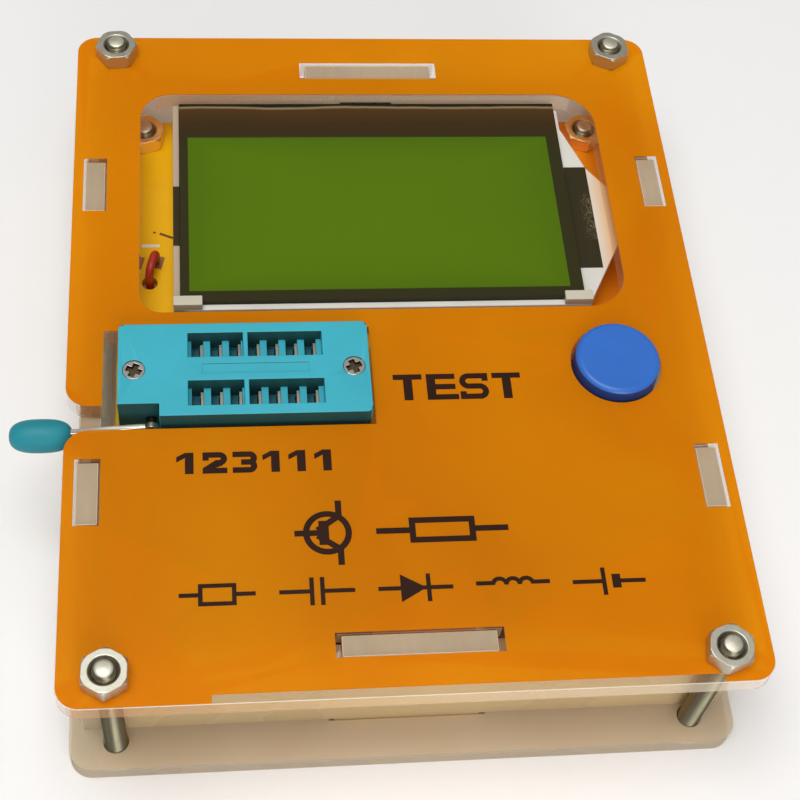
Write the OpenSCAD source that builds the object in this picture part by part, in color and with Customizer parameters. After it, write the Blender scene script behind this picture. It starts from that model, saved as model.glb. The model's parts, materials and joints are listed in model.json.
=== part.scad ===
// Handheld component tester in a laser-cut case.
// Units are millimetres.  Z points up, X points right, Y points to the rear.
// The origin is the centre of the case footprint on the surface it rests on.

/* [Case] */
// Case width along X
case_width = 88; // [87:0.5:90]
// Case depth along Y
case_depth = 109; // [108:0.5:112]
// Sheet thickness of every case panel
sheet = 2.8; // [2.6:0.1:3]
// Clear height between the two large panels
inner_height = 17.6; // [17.4:0.1:19]
// Corner radius of the large panels
corner_r = 3; // [1:0.5:3.5]
// Distance from the case centre to the middle of a side wall
side_wall_x = 40.8; // [40.6:0.1:41]
// Distance from the case centre to the middle of a front or rear wall
end_wall_y = 47.6; // [47.5:0.1:47.8]
// Length of a side wall tab
side_tab = 9; // [6:0.2:12]
// Distance from the case centre to a side wall tab
side_tab_y = 25.3; // [22:0.1:28]
// Length of a front or rear wall tab
end_tab = 19.3; // [14:0.1:24]
// Gap beside a tab in its slot
tab_gap = 0.15; // [0.05:0.05:0.2]
// Gap at each end of a side wall tab
side_tab_gap = 0.25; // [0.1:0.05:0.4]
// Gap at each end of a front or rear wall tab
end_tab_gap = 0.7; // [0.1:0.1:0.9]
// How far a tab stops short of the outer face
tab_recess = 0.3; // [0.1:0.1:0.6]
// Thickness of the coloured face film
film_t = 0.15; // [0.1:0.05:0.25]
// Thickness of the printed legend
print_t = 0.04; // [0.03:0.01:0.1]
// Width of the bare strip along the front edge of the film
bare_strip = 1.2; // [0.6:0.1:1.4]
// How far the film stays back from every edge of the panel
film_inset = 0.12; // [0.05:0.01:0.2]
// Left end of the bare strip
bare_left = -25.5; // [-30:0.5:-20]
// Right end of the bare strip
bare_right = 37.2; // [30:0.2:38]

/* [Case fasteners] */
// Distance from the case centre to a corner screw along X
screw_x = 38; // [37.5:0.1:38.4]
// Distance from the case centre to a corner screw along Y
screw_y = 50.7; // [50.6:0.1:50.8]
// Screw shank radius
screw_r = 1.5; // [1.4:0.05:1.5]
// Clearance hole radius
screw_hole_r = 1.6; // [1.55:0.05:1.6]
// Countersunk head radius
head_r = 2.8; // [2.6:0.1:3]
// Countersunk head height
head_h = 1.4; // [1.2:0.1:1.6]
// Nut width across its flats
nut_flats = 5.5; // [5.4:0.1:5.5]
// Nut height
nut_h = 2.4; // [2:0.1:2.6]
// Length of thread standing past a nut
thread_past = 0.7; // [0.2:0.1:1]
// Cross recess width
recess_w = 0.7; // [0.5:0.1:0.9]
// Cross recess length
recess_l = 3; // [2:0.1:3.2]
// Cross recess depth
recess_d = 0.9; // [0.5:0.1:1]
// Depth of the chamfer in the mouth of a nut
nut_mouth = 0.4; // [0.2:0.05:0.5]

/* [Openings in the face] */
// Left edge of the display window
window_left = -34.35; // [-34.6:0.05:-34]
// Right edge of the display window
window_right = 33.95; // [33.6:0.05:34.2]
// Front edge of the display window
window_front = 2.6; // [2.2:0.1:3]
// Rear edge of the display window
window_rear = 42.6; // [42.4:0.1:42.8]
// Radius of the rear left window corner
window_r_rl = 4.6; // [2:0.1:6]
// Radius of the rear right window corner
window_r_rr = 6.2; // [2:0.1:7]
// Radius of the front left window corner
window_r_fl = 3.2; // [1:0.1:5]
// Radius of the front right window corner
window_r_fr = 5.6; // [1:0.1:6]
// Gap between the socket and its opening
socket_gap = 0.35; // [0.3:0.05:0.6]
// Clear width left of the socket
socket_side_gap = 1.95; // [1:0.05:2.2]
// Width of the channel for the lever
channel_w = 3.55; // [3.2:0.05:4]
// Radius of the panel corners beside the channel
lobe_r = 3.2; // [2:0.1:3.4]
// Radius of the button hole
button_hole_r = 6.2; // [6.1:0.05:6.4]

/* [Circuit board] */
// Board width along X
board_w = 76; // [75:0.5:78]
// Front edge of the board
board_front = -20.1; // [-20.1:0.1:-19.9]
// Rear edge of the board
board_rear = 45.2; // [45:0.1:45.6]
// Board thickness
board_t = 1.6; // [1.4:0.1:1.6]
// Spacer length below the board
spacer_h = 10; // [9.8:0.1:10]
// Spacer radius
spacer_r = 2.75; // [2.5:0.05:3]
// Distance from the centre to a board screw along X
board_screw_x = 34.2; // [34:0.1:34.3]
// Rear board screw position along Y
board_screw_rear = 41.7; // [41.5:0.1:41.8]
// Front board screw position along Y
board_screw_front = -17.1; // [-17.2:0.05:-17.1]
// Corner radius of the board
board_corner_r = 1; // [0.5:0.1:2]

/* [Display] */
// Display centre along X
lcd_x = -0.25; // [-0.5:0.05:0]
// Front edge of the display glass
glass_front = 5.2; // [5:0.1:5.4]
// Rear edge of the display glass
glass_rear = 42.2; // [41.8:0.1:42.3]
// Width of the display glass
glass_w = 57.1; // [56.8:0.1:57.4]
// Depth of the display top below the panel top
lcd_drop = 1; // [0.6:0.1:1.4]
// Thickness of the lower glass
glass_t = 1.1; // [0.8:0.1:1.2]
// Thickness of the black border
mask_t = 0.8; // [0.5:0.1:0.9]
// How far the green screen sits below the border
screen_drop = 0.1; // [0.05:0.05:0.2]
// Width of the green screen
screen_w = 54; // [53.6:0.1:54.2]
// Front edge of the green screen
screen_front = 6.9; // [6.8:0.1:7.2]
// Rear edge of the green screen
screen_rear = 35.2; // [34.8:0.1:35.4]
// Width of the left border beside the screen
screen_margin = 1.2; // [1:0.1:1.4]
// Height of the white display frame
frame_h = 3; // [2.6:0.1:3.2]
// Overhang of the white frame on the left, right and front
frame_rim = 1; // [0.8:0.1:1.1]
// Width of a frame leg
leg_w = 3; // [2:0.1:4]
// Front end of the light tab at the frame
tab_front = 4.8; // [4.6:0.1:6]
// Rear end of the light tab at the frame
tab_back = 38.4; // [37:0.2:38.6]
// Front end of the light tab's outer edge
tab_tip_front = 15.8; // [15:0.2:17]
// Rear end of the light tab's outer edge
tab_tip_back = 26.6; // [26:0.2:28]
// Reach of the light tab's outer edge beyond the frame
tab_reach = 5.8; // [5.4:0.1:6]
// Rear shoulder of the light tab along Y
tab_shoulder_y = 30.4; // [30:0.2:31]
// Reach of the rear shoulder beyond the frame
tab_shoulder = 3; // [2.6:0.1:3.2]
// Thickness of the light tab
tab_t = 1.2; // [0.8:0.1:1.4]
// Length of the tape on the light tab
tape_l = 19; // [18:0.2:20]
// Width of the tape over the frame rim and the light tab
tape_w = 3.8; // [3.4:0.1:4]
// Tape thickness
tape_t = 0.12; // [0.08:0.02:0.2]
// Middle of the right tape along Y
tape_y = 21; // [20:0.2:22]
// Length of the tape on the left rim
side_tape_l = 10.8; // [9:0.2:12]
// Middle of the left tape along Y
side_tape_y = 20.9; // [20.5:0.1:22]
// Clip length along the front edge
clip_l = 4; // [3:0.1:5]
// Clip width over the border
clip_w = 1.6; // [1.2:0.1:2]
// Clip thickness
clip_t = 0.5; // [0.3:0.1:0.6]
// Width of the display ribbon
ribbon_w = 7.8; // [7:0.1:9]
// Thickness of the display ribbon
ribbon_t = 0.2; // [0.15:0.05:0.3]
// Middle of the ribbon along X
ribbon_x = -0.6; // [-1:0.1:0]

/* [Test socket] */
// Socket centre along X
socket_x = -20.35; // [-20.4:0.05:-20.3]
// Socket centre along Y
socket_y = -8.05; // [-8.1:0.05:-8]
// Socket length
socket_l = 33.4; // [33.2:0.1:33.6]
// Socket width
socket_w = 14.6; // [14.4:0.1:14.7]
// Height of the socket top above the panel top
socket_proud = 2; // [1.6:0.1:2.4]
// Height of the socket base
base_h = 5; // [4.6:0.1:5.2]
// Contact pitch
pitch = 2.54; // [2.54:0.01:2.54]
// Number of contacts in a row
row_count = 7; // [7:1:7]
// Distance between the two rows
row_spacing = 7.62; // [7.62:0.01:7.62]
// Offset of the contact field along X
field_x = 1.48; // [1.4:0.02:1.5]
// Length of a row recess
recess_len = 18; // [17.8:0.1:18.2]
// Width of a row recess
recess_wid = 3.85; // [3.6:0.05:4]
// Depth of a row recess
recess_dep = 2; // [1.3:0.1:2.2]
// Width of one contact slot
slot_w = 1.6; // [1.4:0.05:1.65]
// Thickness of the divider in each recess
divider_t = 0.6; // [0.4:0.1:0.7]
// Contact blade thickness
blade_t = 0.35; // [0.2:0.05:0.35]
// Contact blade width
blade_w = 2.7; // [2.2:0.1:2.8]
// Contact pin radius
pin_r = 0.25; // [0.2:0.05:0.3]
// Length of a pin below the board
pin_below = 1.8; // [1:0.1:2.4]
// Notch length at the front left corner
notch_l = 5.45; // [5.3:0.05:5.5]
// Notch depth at the front left corner
notch_w = 1.95; // [1.8:0.05:2]
// Slider thickness
slider_t = 1.8; // [1.6:0.1:1.9]
// Slider travel
slider_travel = 0.905; // [0.9:0.005:0.91]
// Running gap round the slider
slider_gap = 0.1; // [0.06:0.02:0.12]
// Distance from the socket centre to a socket screw
socket_screw_x = 14.6; // [14.5:0.05:14.7]
// Socket screw head radius
socket_head_r = 1.45; // [1.3:0.05:1.5]
// Socket screw shank radius
socket_shank_r = 0.9; // [0.8:0.05:1]

/* [Socket lever] */
// Lever pivot along X
pivot_x = -32.75; // [-32.8:0.05:-32.7]
// Depth of the lever pivot below the panel top
pivot_drop = 1.9; // [1.8:0.05:2]
// Gap between the notch wall and the lever
lever_gap = 0.9; // [0.7:0.05:1.05]
// Lever thickness along Y
lever_t = 0.8; // [0.6:0.05:0.85]
// Lever height
lever_h = 1; // [0.8:0.05:1.1]
// Lever hub radius
hub_r = 0.9; // [0.85:0.05:0.95]
// Axle radius
axle_r = 0.7; // [0.6:0.05:0.75]
// Running gap of the axle
axle_gap = 0.05; // [0.02:0.01:0.08]
// Length of the axle bearing
bearing_l = 1.5; // [1.3:0.1:1.6]
// Crank disc radius
crank_r = 1.1; // [1:0.05:1.15]
// Crank disc thickness
crank_t = 0.6; // [0.5:0.1:0.7]
// Crank pin radius
crank_pin_r = 0.4; // [0.35:0.05:0.45]
// Crank pin length
crank_pin_l = 1.3; // [1.2:0.1:1.4]
// Outward bend of the lever between hub and knob
lever_bend = 0.6; // [0.4:0.1:0.7]
// Knob end nearest the socket
knob_start = -43; // [-43.2:0.1:-42.9]
// Knob length
knob_l = 8.2; // [7.8:0.1:8.6]
// Knob radius
knob_r = 2.25; // [2:0.05:2.3]
// Height of the lever above the middle of the knob
knob_drop = 0.5; // [0:0.1:0.8]
// Bluntness of the knob ends
knob_power = 2.7; // [2:0.1:4]

/* [Push button] */
// Button centre along X
button_x = 30.55; // [30.3:0.05:30.6]
// Button centre along Y
button_y = -7.4; // [-7.5:0.05:-7.3]
// Cap radius
cap_r = 5.9; // [5.8:0.05:6.05]
// Height of the cap top above the panel top
cap_proud = 1.95; // [1.8:0.05:2.2]
// Cap height
cap_h = 5.4; // [5:0.1:5.6]
// Cap edge rounding
cap_round = 0.8; // [0.4:0.1:1]
// Cap wall thickness
cap_wall = 1.1; // [0.9:0.1:1.3]
// Switch body width
switch_w = 12; // [11.8:0.1:12]
// Switch body height
switch_h = 3.4; // [3.2:0.1:3.6]
// Switch cover plate thickness
cover_t = 0.3; // [0.2:0.05:0.4]
// Plunger base radius
plunger_r = 3.3; // [3.1:0.05:3.4]
// Running gap of the plunger
plunger_gap = 0.05; // [0.02:0.01:0.08]
// Height of the round plunger base above the cover
plunger_h = 0.9; // [0.7:0.1:1]
// Width of the square stem
stem_w = 3.8; // [3.6:0.1:3.9]
// Height of the square stem
stem_h = 3.4; // [3:0.1:3.6]
// Depth of the plunger inside the switch body
plunger_in = 0.8; // [0.6:0.1:1]
// Button travel
button_travel = 0.3; // [0.25:0.05:0.35]

/* [Battery] */
// Battery body length
battery_l = 46.2; // [45.8:0.1:46.4]
// Battery width
battery_w = 25.8; // [25.4:0.1:25.8]
// Battery thickness
battery_t = 16.9; // [15.5:0.1:17]
// Battery edge radius
battery_r = 1.8; // [1:0.1:2.5]
// Left end of the battery
battery_left = -38.6; // [-38.8:0.1:-38.2]
// Spacing of the two terminals
terminal_spacing = 12.7; // [12.6:0.05:12.8]
// Terminal height
terminal_h = 2.2; // [2:0.1:2.4]
// Small terminal radius
terminal_male_r = 2.85; // [2.8:0.05:2.9]
// Large terminal outer radius
terminal_female_r = 4.3; // [4.2:0.05:4.4]
// Large terminal inner radius
terminal_bore_r = 3.3; // [3.25:0.05:3.4]
// Snap plate thickness
snap_t = 2.2; // [1.8:0.1:2.4]
// Snap plate height
snap_h = 12; // [11:0.2:13]
// Snap plate length
snap_l = 24.5; // [23.5:0.5:25]
// Battery lead radius
lead_r = 0.65; // [0.55:0.05:0.7]
// Bend radius of a lead
lead_bend = 3; // [2.5:0.1:3.2]
// Lead hole radius in the board
lead_hole_r = 1.1; // [1:0.05:1.2]

/* [Hidden] */
$fn = 64;
eps = 0.01;
top_z = sheet + inner_height + sheet;
under_z = sheet + inner_height;
face_z = top_z + film_t;
half_w = case_width / 2;
half_d = case_depth / 2;
tab_slot_t = sheet + 2 * tab_gap;
board_low = sheet + spacer_h;
board_z = board_low + board_t;
wall_out_y = end_wall_y + sheet / 2;
wall_in_x = side_wall_x - sheet / 2;
butt_gap = 0.05;
nut_corner_r = nut_flats / 2 / cos(30);
nut_chamfer = 0.35;
tip_cone = 0.3;
tip_dome = 0.2;
tip_r = 1.15;
tip_flat_r = 0.7;
socket_left = socket_x - socket_l / 2;
socket_right = socket_x + socket_l / 2;
socket_front = socket_y - socket_w / 2;
socket_rear = socket_y + socket_w / 2;
socket_top = top_z + socket_proud;
base_z = board_z + base_h;
notch_rear = socket_front + notch_w;
open_left = socket_left - socket_side_gap;
open_right = socket_right + socket_gap;
open_front = socket_front - 2 * socket_gap;
open_rear = socket_rear + socket_gap / 2;
channel_rear = open_front + channel_w;
field_mid = socket_x + field_x;
slot_shift = -0.12;
blade_inset = 0.05;
comb_z = socket_top - recess_dep;
pocket_low = base_z;
slider_z = pocket_low + slider_gap;
slider_top = slider_z + slider_t;
pocket_top = slider_top + slider_gap;
slider_w = 11.2;
slider_left = field_mid - 9.7;
slider_right = field_mid + 9.6;
window_w = 1.5;
pivot_z = top_z - pivot_drop;
lever_y = notch_rear - lever_gap - lever_t / 2;
knob_y = lever_y - lever_bend;
crank_e = slider_travel / 2 / sin(45);
crank_dx = crank_e * sin(45);
crank_dz = -crank_e * cos(45);
bearing_end = notch_rear + bearing_l;
crank_y = bearing_end + 0.1;
crank_end = crank_y + crank_t;
pin_end = crank_end + crank_pin_l;
cavity_r = 1.35;
cavity_left = -34.5;
cavity_right = -30.6;
cavity_rear = pin_end + 0.2;
slider_end_gap = 0.3;
lug_gap = 0.15;
fork_floor = 0.35;
lug_front = crank_end + 0.2;
lug_rear = pin_end + axle_gap;
lug_top = pivot_z + crank_dz + crank_pin_r + lug_gap;
lug_low = pocket_low + slider_gap;
fork_w = 2 * crank_pin_r + 0.1;
fork_x = pivot_x + crank_dx;
prong = 0.6;
lug_left = fork_x - fork_w / 2 - prong;
cap_top = top_z + cap_proud;
cap_low = cap_top - cap_h;
switch_top = board_z + switch_h;
cover_top = switch_top + cover_t;
stem_top = cover_top + plunger_h + stem_h;
battery_y = -end_wall_y + sheet / 2 + 0.05 + battery_w / 2;
battery_z = sheet + battery_t / 2;
battery_right = battery_left + battery_l;
snap_x = battery_right + terminal_h + 0.1;
glass_top = top_z - lcd_drop;
mask_z = glass_top - mask_t;
glass_z = mask_z - glass_t;
frame_z = glass_z - frame_h;
glass_left = lcd_x - glass_w / 2;
glass_right = lcd_x + glass_w / 2;
frame_left = glass_left - frame_rim;
frame_right = glass_right + frame_rim;
frame_front = glass_front - frame_rim;
screen_left = glass_left + screen_margin;
tab_z = glass_z - tab_t;
step_drop = 0.35;

// ---------- shared shapes ----------

module rounded(w, d, r) {
  square([w - 2 * r, d], center = true);
  square([w, d - 2 * r], center = true);
  for (sx = [-1, 1], sy = [-1, 1])
    translate([sx * (w / 2 - r), sy * (d / 2 - r)]) circle(r);
}

module slab(w, d, h, r) {
  linear_extrude(h) rounded(w, d, r);
}

// Corner piece to cut away so that a square corner at the origin becomes round.
// The solid material lies towards +X and +Y before rotation.
module corner_cut(r) {
  difference() {
    translate([-eps, -eps]) square([r + eps, r + eps]);
    translate([r, r]) circle(r);
  }
}

module at_corners(x, y_front, y_rear) {
  for (sx = [-1, 1], y = [y_front, y_rear])
    translate([sx * x, y, 0]) children();
}

module tab_slots() {
  for (sx = [-1, 1], sy = [-1, 1])
    translate([sx * side_wall_x, sy * side_tab_y])
      square([tab_slot_t, side_tab + 2 * side_tab_gap], center = true);
  for (sy = [-1, 1])
    translate([0, sy * end_wall_y])
      square([end_tab + 2 * end_tab_gap, tab_slot_t], center = true);
}

module window_shape() {
  difference() {
    translate([window_left, window_front])
      square([window_right - window_left, window_rear - window_front]);
    translate([window_left, window_front]) corner_cut(window_r_fl);
    translate([window_right, window_front]) rotate(90) corner_cut(window_r_fr);
    translate([window_right, window_rear]) rotate(180) corner_cut(window_r_rr);
    translate([window_left, window_rear]) rotate(270) corner_cut(window_r_rl);
  }
}

module socket_opening() {
  translate([open_left, open_front])
    square([open_right - open_left, open_rear - open_front]);
  translate([-half_w - 1, open_front])
    square([half_w + 1 + open_left + eps, channel_w]);
  translate([-half_w, open_front]) rotate(270) corner_cut(lobe_r);
  translate([-half_w, channel_rear]) corner_cut(lobe_r);
}

module face_outline() {
  difference() {
    rounded(case_width, case_depth, corner_r);
    window_shape();
    socket_opening();
    translate([button_x, button_y]) circle(button_hole_r);
    tab_slots();
    at_corners(screw_x, -screw_y, screw_y) circle(screw_hole_r);
  }
}

module tube(r_out, r_in, h) {
  difference() {
    cylinder(r = r_out, h = h);
    translate([0, 0, -eps]) cylinder(r = r_in, h = h + 2 * eps);
  }
}

module cross_recess(len, wid, dep) {
  for (a = [0, 90])
    rotate(a) translate([-len / 2, -wid / 2, -eps]) cube([len, wid, dep + eps]);
}

hex_sides = 6;

module hex_nut() {
  difference() {
    intersection() {
      cylinder(r = nut_corner_r, h = nut_h, $fn = hex_sides);
      union() {
        cylinder(r1 = nut_corner_r - nut_chamfer, r2 = nut_corner_r + eps, h = nut_chamfer + eps);
        translate([0, 0, nut_chamfer]) cylinder(r = nut_corner_r + eps, h = nut_h - 2 * nut_chamfer);
        translate([0, 0, nut_h - nut_chamfer - eps])
          cylinder(r1 = nut_corner_r + eps, r2 = nut_corner_r - nut_chamfer, h = nut_chamfer + eps);
      }
    }
    translate([0, 0, -eps]) cylinder(r = screw_r + axle_gap, h = nut_h + 2 * eps);
    translate([0, 0, nut_h - nut_mouth])
      cylinder(r1 = screw_r + axle_gap, r2 = screw_r + axle_gap + nut_mouth, h = nut_mouth + eps);
  }
}

module flush_screw(len) {
  difference() {
    union() {
      cylinder(r1 = head_r, r2 = screw_r, h = head_h);
      cylinder(r = screw_r, h = len - tip_cone - tip_dome);
      translate([0, 0, len - tip_cone - tip_dome]) cylinder(r1 = screw_r, r2 = tip_r, h = tip_cone);
      translate([0, 0, len - tip_dome]) cylinder(r1 = tip_r, r2 = tip_flat_r, h = tip_dome);
    }
    cross_recess(recess_l, recess_w, recess_d);
  }
}

module bolt_bore() {
  seat = screw_hole_r - screw_r;
  translate([0, 0, -eps]) cylinder(r = screw_hole_r, h = sheet + 2 * eps);
  translate([0, 0, -eps]) cylinder(r1 = head_r + seat, r2 = screw_r + seat, h = head_h + eps);
}

// ---------- case ----------

module top_panel() {
  color([0.86, 0.83, 0.78, 0.7])
    translate([0, 0, under_z]) linear_extrude(sheet) face_outline();
}

module face_film() {
  color([0.82, 0.48, 0.05])
    translate([0, 0, top_z]) linear_extrude(film_t) difference() {
      offset(delta = -film_inset) face_outline();
      translate([bare_left, -half_d - 1]) square([bare_right - bare_left, bare_strip + 1]);
    }
}

module bottom_panel() {
  color([0.75, 0.74, 0.7, 0.7]) difference() {
    linear_extrude(sheet) difference() {
      rounded(case_width, case_depth, corner_r);
      tab_slots();
    }
    at_corners(screw_x, -screw_y, screw_y) bolt_bore();
    at_corners(board_screw_x, board_screw_front, board_screw_rear) bolt_bore();
  }
}

module wall_profile(len, tabs, tab_len) {
  translate([-len / 2, sheet]) square([len, inner_height]);
  for (p = tabs)
    translate([p - tab_len / 2, tab_recess]) square([tab_len, top_z - 2 * tab_recess]);
}

module side_wall() {
  rotate([90, 0, 90]) translate([0, 0, -sheet / 2]) linear_extrude(sheet)
    wall_profile(2 * wall_out_y, [-side_tab_y, side_tab_y], side_tab);
}

module end_wall() {
  rotate([90, 0, 0]) translate([0, 0, -sheet / 2]) linear_extrude(sheet)
    wall_profile(2 * (wall_in_x - butt_gap), [0], end_tab);
}

module left_wall() {
  color([0.72, 0.68, 0.62, 0.8]) translate([-side_wall_x, 0, 0]) side_wall();
}

module right_wall() {
  color([0.72, 0.68, 0.62, 0.8]) translate([side_wall_x, 0, 0]) side_wall();
}

module front_wall() {
  color([0.7, 0.6, 0.48, 0.8]) translate([0, -end_wall_y, 0]) end_wall();
}

module rear_wall() {
  color([0.7, 0.6, 0.48, 0.8]) translate([0, end_wall_y, 0]) end_wall();
}

module case_screws() {
  color([0.72, 0.72, 0.7])
    at_corners(screw_x, -screw_y, screw_y) flush_screw(face_z + nut_h + thread_past);
}

front_nut_turn = [28, 20];
rear_nut_turn = [5, 33];

module case_nuts() {
  color([0.85, 0.85, 0.82]) {
    translate([-screw_x, -screw_y, face_z]) rotate(front_nut_turn[0]) hex_nut();
    translate([screw_x, -screw_y, face_z]) rotate(front_nut_turn[1]) hex_nut();
    translate([-screw_x, screw_y, face_z]) rotate(rear_nut_turn[0]) hex_nut();
    translate([screw_x, screw_y, face_z]) rotate(rear_nut_turn[1]) hex_nut();
  }
}

// ---------- printed legend ----------

letter_h = 4.1;
letter_w = 3.9;
letter_stem = 1.2;
letter_bar = 0.82;
letter_step = 4.5;
letter_foot = 0.35;
digit_h = 3.15;
digit_w = 3.15;
digit_stem = 1.1;
digit_bar = 0.8;
digit_hook = 0.45;
one_w = 2.2;
one_flag = 0.75;
one_slope = 0.62;
one_step = 3.36;
wide_step = 3.86;

module letter_t() {
  translate([0, letter_h - letter_bar]) square([letter_w, letter_bar]);
  translate([(letter_w - letter_stem) / 2, 0]) square([letter_stem, letter_h]);
}

module letter_e() {
  square([letter_stem, letter_h]);
  square([letter_w + letter_foot, letter_bar]);
  for (y = [(letter_h - letter_bar) / 2, letter_h - letter_bar])
    translate([0, y]) square([letter_w, letter_bar]);
}

// Half ring, open towards -X before rotation.
module half_ring(r_out, r_in) {
  difference() {
    circle(r_out);
    circle(r_in);
    translate([-r_out - 1, -r_out - 1]) square([r_out + 1, 2 * r_out + 2]);
  }
}

module letter_s() {
  r_out = (letter_h + letter_bar) / 4;
  r_in = r_out - letter_bar;
  translate([letter_w - r_out, r_out]) half_ring(r_out, r_in);
  translate([r_out, letter_h - r_out]) rotate(180) half_ring(r_out, r_in);
  square([letter_w - r_out, letter_bar]);
  square([letter_bar, r_out]);
  translate([r_out, letter_h - letter_bar]) square([letter_w - r_out, letter_bar]);
  translate([letter_w - letter_bar, letter_h - r_out]) square([letter_bar, r_out]);
  translate([r_out, (letter_h - letter_bar) / 2]) square([letter_w - 2 * r_out, letter_bar]);
}

module digit_1() {
  stem_left = one_w - digit_stem;
  polygon([
    [stem_left, 0],
    [one_w, 0],
    [one_w, digit_h],
    [stem_left, digit_h],
    [0, digit_h - one_slope],
    [0, digit_h - one_slope - one_flag],
    [stem_left, digit_h - one_flag]
  ]);
}

module digit_2() {
  r_out = (digit_h + digit_bar) / 4;
  bend_x = digit_w - r_out;
  bend_y = digit_h - r_out;
  translate([bend_x, bend_y]) half_ring(r_out, r_out - digit_bar);
  translate([0, digit_h - digit_bar]) square([bend_x, digit_bar]);
  translate([0, bend_y - digit_hook / 2]) square([digit_bar, r_out]);
  square([digit_w, digit_bar]);
  polygon([
    [0, digit_bar - eps],
    [digit_stem + digit_hook, digit_bar - eps],
    [bend_x + digit_hook, bend_y - r_out],
    [bend_x, bend_y - r_out + digit_bar],
    [bend_x - digit_hook, bend_y - r_out + digit_bar]
  ]);
}

module digit_3() {
  r_out = (digit_h + digit_bar) / 4;
  r_in = r_out - digit_bar;
  for (y = [r_out, digit_h - r_out])
    translate([digit_w - r_out, y]) half_ring(r_out, r_in);
  for (y = [0, digit_h - digit_bar])
    translate([0, y]) square([digit_w - r_out, digit_bar]);
  translate([digit_stem, (digit_h - digit_bar) / 2]) square([digit_w - r_out - digit_stem, digit_bar]);
  for (y = [0, digit_h - r_out + digit_hook / 2])
    translate([0, y]) square([digit_bar, r_out - digit_hook / 2]);
}

module word_test() {
  letter_t();
  translate([letter_step, 0]) letter_e();
  translate([2 * letter_step, 0]) letter_s();
  translate([3 * letter_step, 0]) letter_t();
}

module contact_numbers() {
  digit_1();
  translate([one_step, 0]) digit_2();
  translate([one_step + wide_step, 0]) digit_3();
  for (i = [0 : 2]) translate([one_step + 2 * wide_step + i * one_step, 0]) digit_1();
}

module bar(x0, y0, len, angle, t) {
  translate([x0, y0]) rotate(angle) translate([-t / 2, -t / 2]) square([len + t, t]);
}

// Resistor drawn as a plain box with two leads.
module symbol_resistor(len, h, t) {
  difference() {
    translate([-len / 4, -h / 2]) square([len / 2, h]);
    translate([-len / 4 + t, -h / 2 + t]) square([len / 2 - 2 * t, h - 2 * t]);
  }
  translate([-len / 2, -t / 2]) square([len / 4 + t / 2, t]);
  translate([len / 4 - t / 2, -t / 2]) square([len / 4 + t / 2, t]);
}

module symbol_capacitor(len, h, t) {
  for (s = [-1, 1]) {
    translate([s * plate_gap / 2 - t / 2, -h / 2]) square([t, h]);
    translate([s > 0 ? plate_gap / 2 : -len / 2, -t / 2]) square([len / 2 - plate_gap / 2, t]);
  }
}

// Battery cell: a tall thin plate and a short thick one.
module symbol_cell(len, h, t) {
  translate([-plate_gap / 2 - t / 2, -h / 2]) square([t, h]);
  translate([-len / 2, -t / 2]) square([len / 2 - plate_gap / 2, t]);
  translate([plate_gap / 2 - t / 2, -h / 4]) square([2 * t, h / 2]);
  translate([plate_gap / 2, -t / 2]) square([len / 2 - plate_gap / 2, t]);
}

module symbol_diode(len, h, t) {
  polygon([[-h / 2, -h / 2], [h / 2 - t, 0], [-h / 2, h / 2]]);
  translate([h / 2 - t, -h / 2]) square([t, h]);
  translate([-len / 2, -t / 2]) square([len, t]);
}

module symbol_coil(len, h, t) {
  loops = 3;
  r = len * coil_share;
  for (i = [0 : loops - 1])
    translate([(i - (loops - 1) / 2) * (2 * r - t), 0]) difference() {
      circle(r);
      circle(r - t);
      translate([-r - 1, -2 * r]) square([2 * r + 2, 2 * r]);
    }
  reach = (loops - 1) / 2 * (2 * r - t) + r - t;
  for (s = [-1, 1])
    translate([s > 0 ? reach : -len / 2, 0]) square([len / 2 - reach, t]);
}

// Transistor in its ring; lengths are shares of the ring radius.
module symbol_transistor(r, t) {
  base_half = 0.55 * r;
  base_x = -0.35 * r;
  base_t = 1.6 * t;
  lead_out = 1.35 * r;
  branch = [-0.3 * r, 0.2 * r];
  branch_len = 0.95 * r;
  branch_turn = 35;
  stub = [0.5 * r, 0.75 * r];
  stub_len = 0.6 * r;
  difference() {
    circle(r);
    circle(r - t);
  }
  translate([base_x, -base_half]) square([base_t, 2 * base_half]);
  translate([-lead_out, -t / 2]) square([r, t]);
  bar(branch[0], branch[1], branch_len, branch_turn, t);
  bar(branch[0], -branch[1], branch_len, -branch_turn, t);
  bar(stub[0], stub[1], stub_len, 90, t);
  bar(stub[0], -lead_out, stub_len, 90, t);
}

test_left = -0.5;
test_low = -12.6;
numbers_left = -29.5;
numbers_low = -23.1;
emblem_y = -32.2;
emblem_r = 3.1;
emblem_x = -10.6;
emblem_part = 17;
emblem_part_h = 3.6;
emblem_line = 0.8;
line_t = 0.55;
row_y = -40.3;
row_part = 9.4;
row_step = 12.3;
row_h = 3.8;
row_box_h = 3;
plate_gap = 1.33;
coil_share = 0.12;

module legend_print() {
  color([0.2, 0.08, 0.04]) translate([0, 0, face_z]) linear_extrude(print_t) {
    translate([test_left, test_low]) word_test();
    translate([numbers_left, numbers_low]) contact_numbers();
    translate([emblem_x, emblem_y]) symbol_transistor(emblem_r, emblem_line);
    translate([emblem_x + emblem_part / 2 + emblem_r * 2, emblem_y])
      symbol_resistor(emblem_part, emblem_part_h, emblem_line);
    translate([-2 * row_step, row_y]) symbol_resistor(row_part, row_box_h, line_t);
    translate([-row_step, row_y]) symbol_capacitor(row_part, row_h, line_t);
    translate([0, row_y]) symbol_diode(row_part, row_h, line_t);
    translate([row_step, row_y]) symbol_coil(row_part, row_h, line_t);
    translate([2 * row_step, row_y]) symbol_cell(row_part, row_h, line_t);
  }
}

// ---------- circuit board ----------

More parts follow.
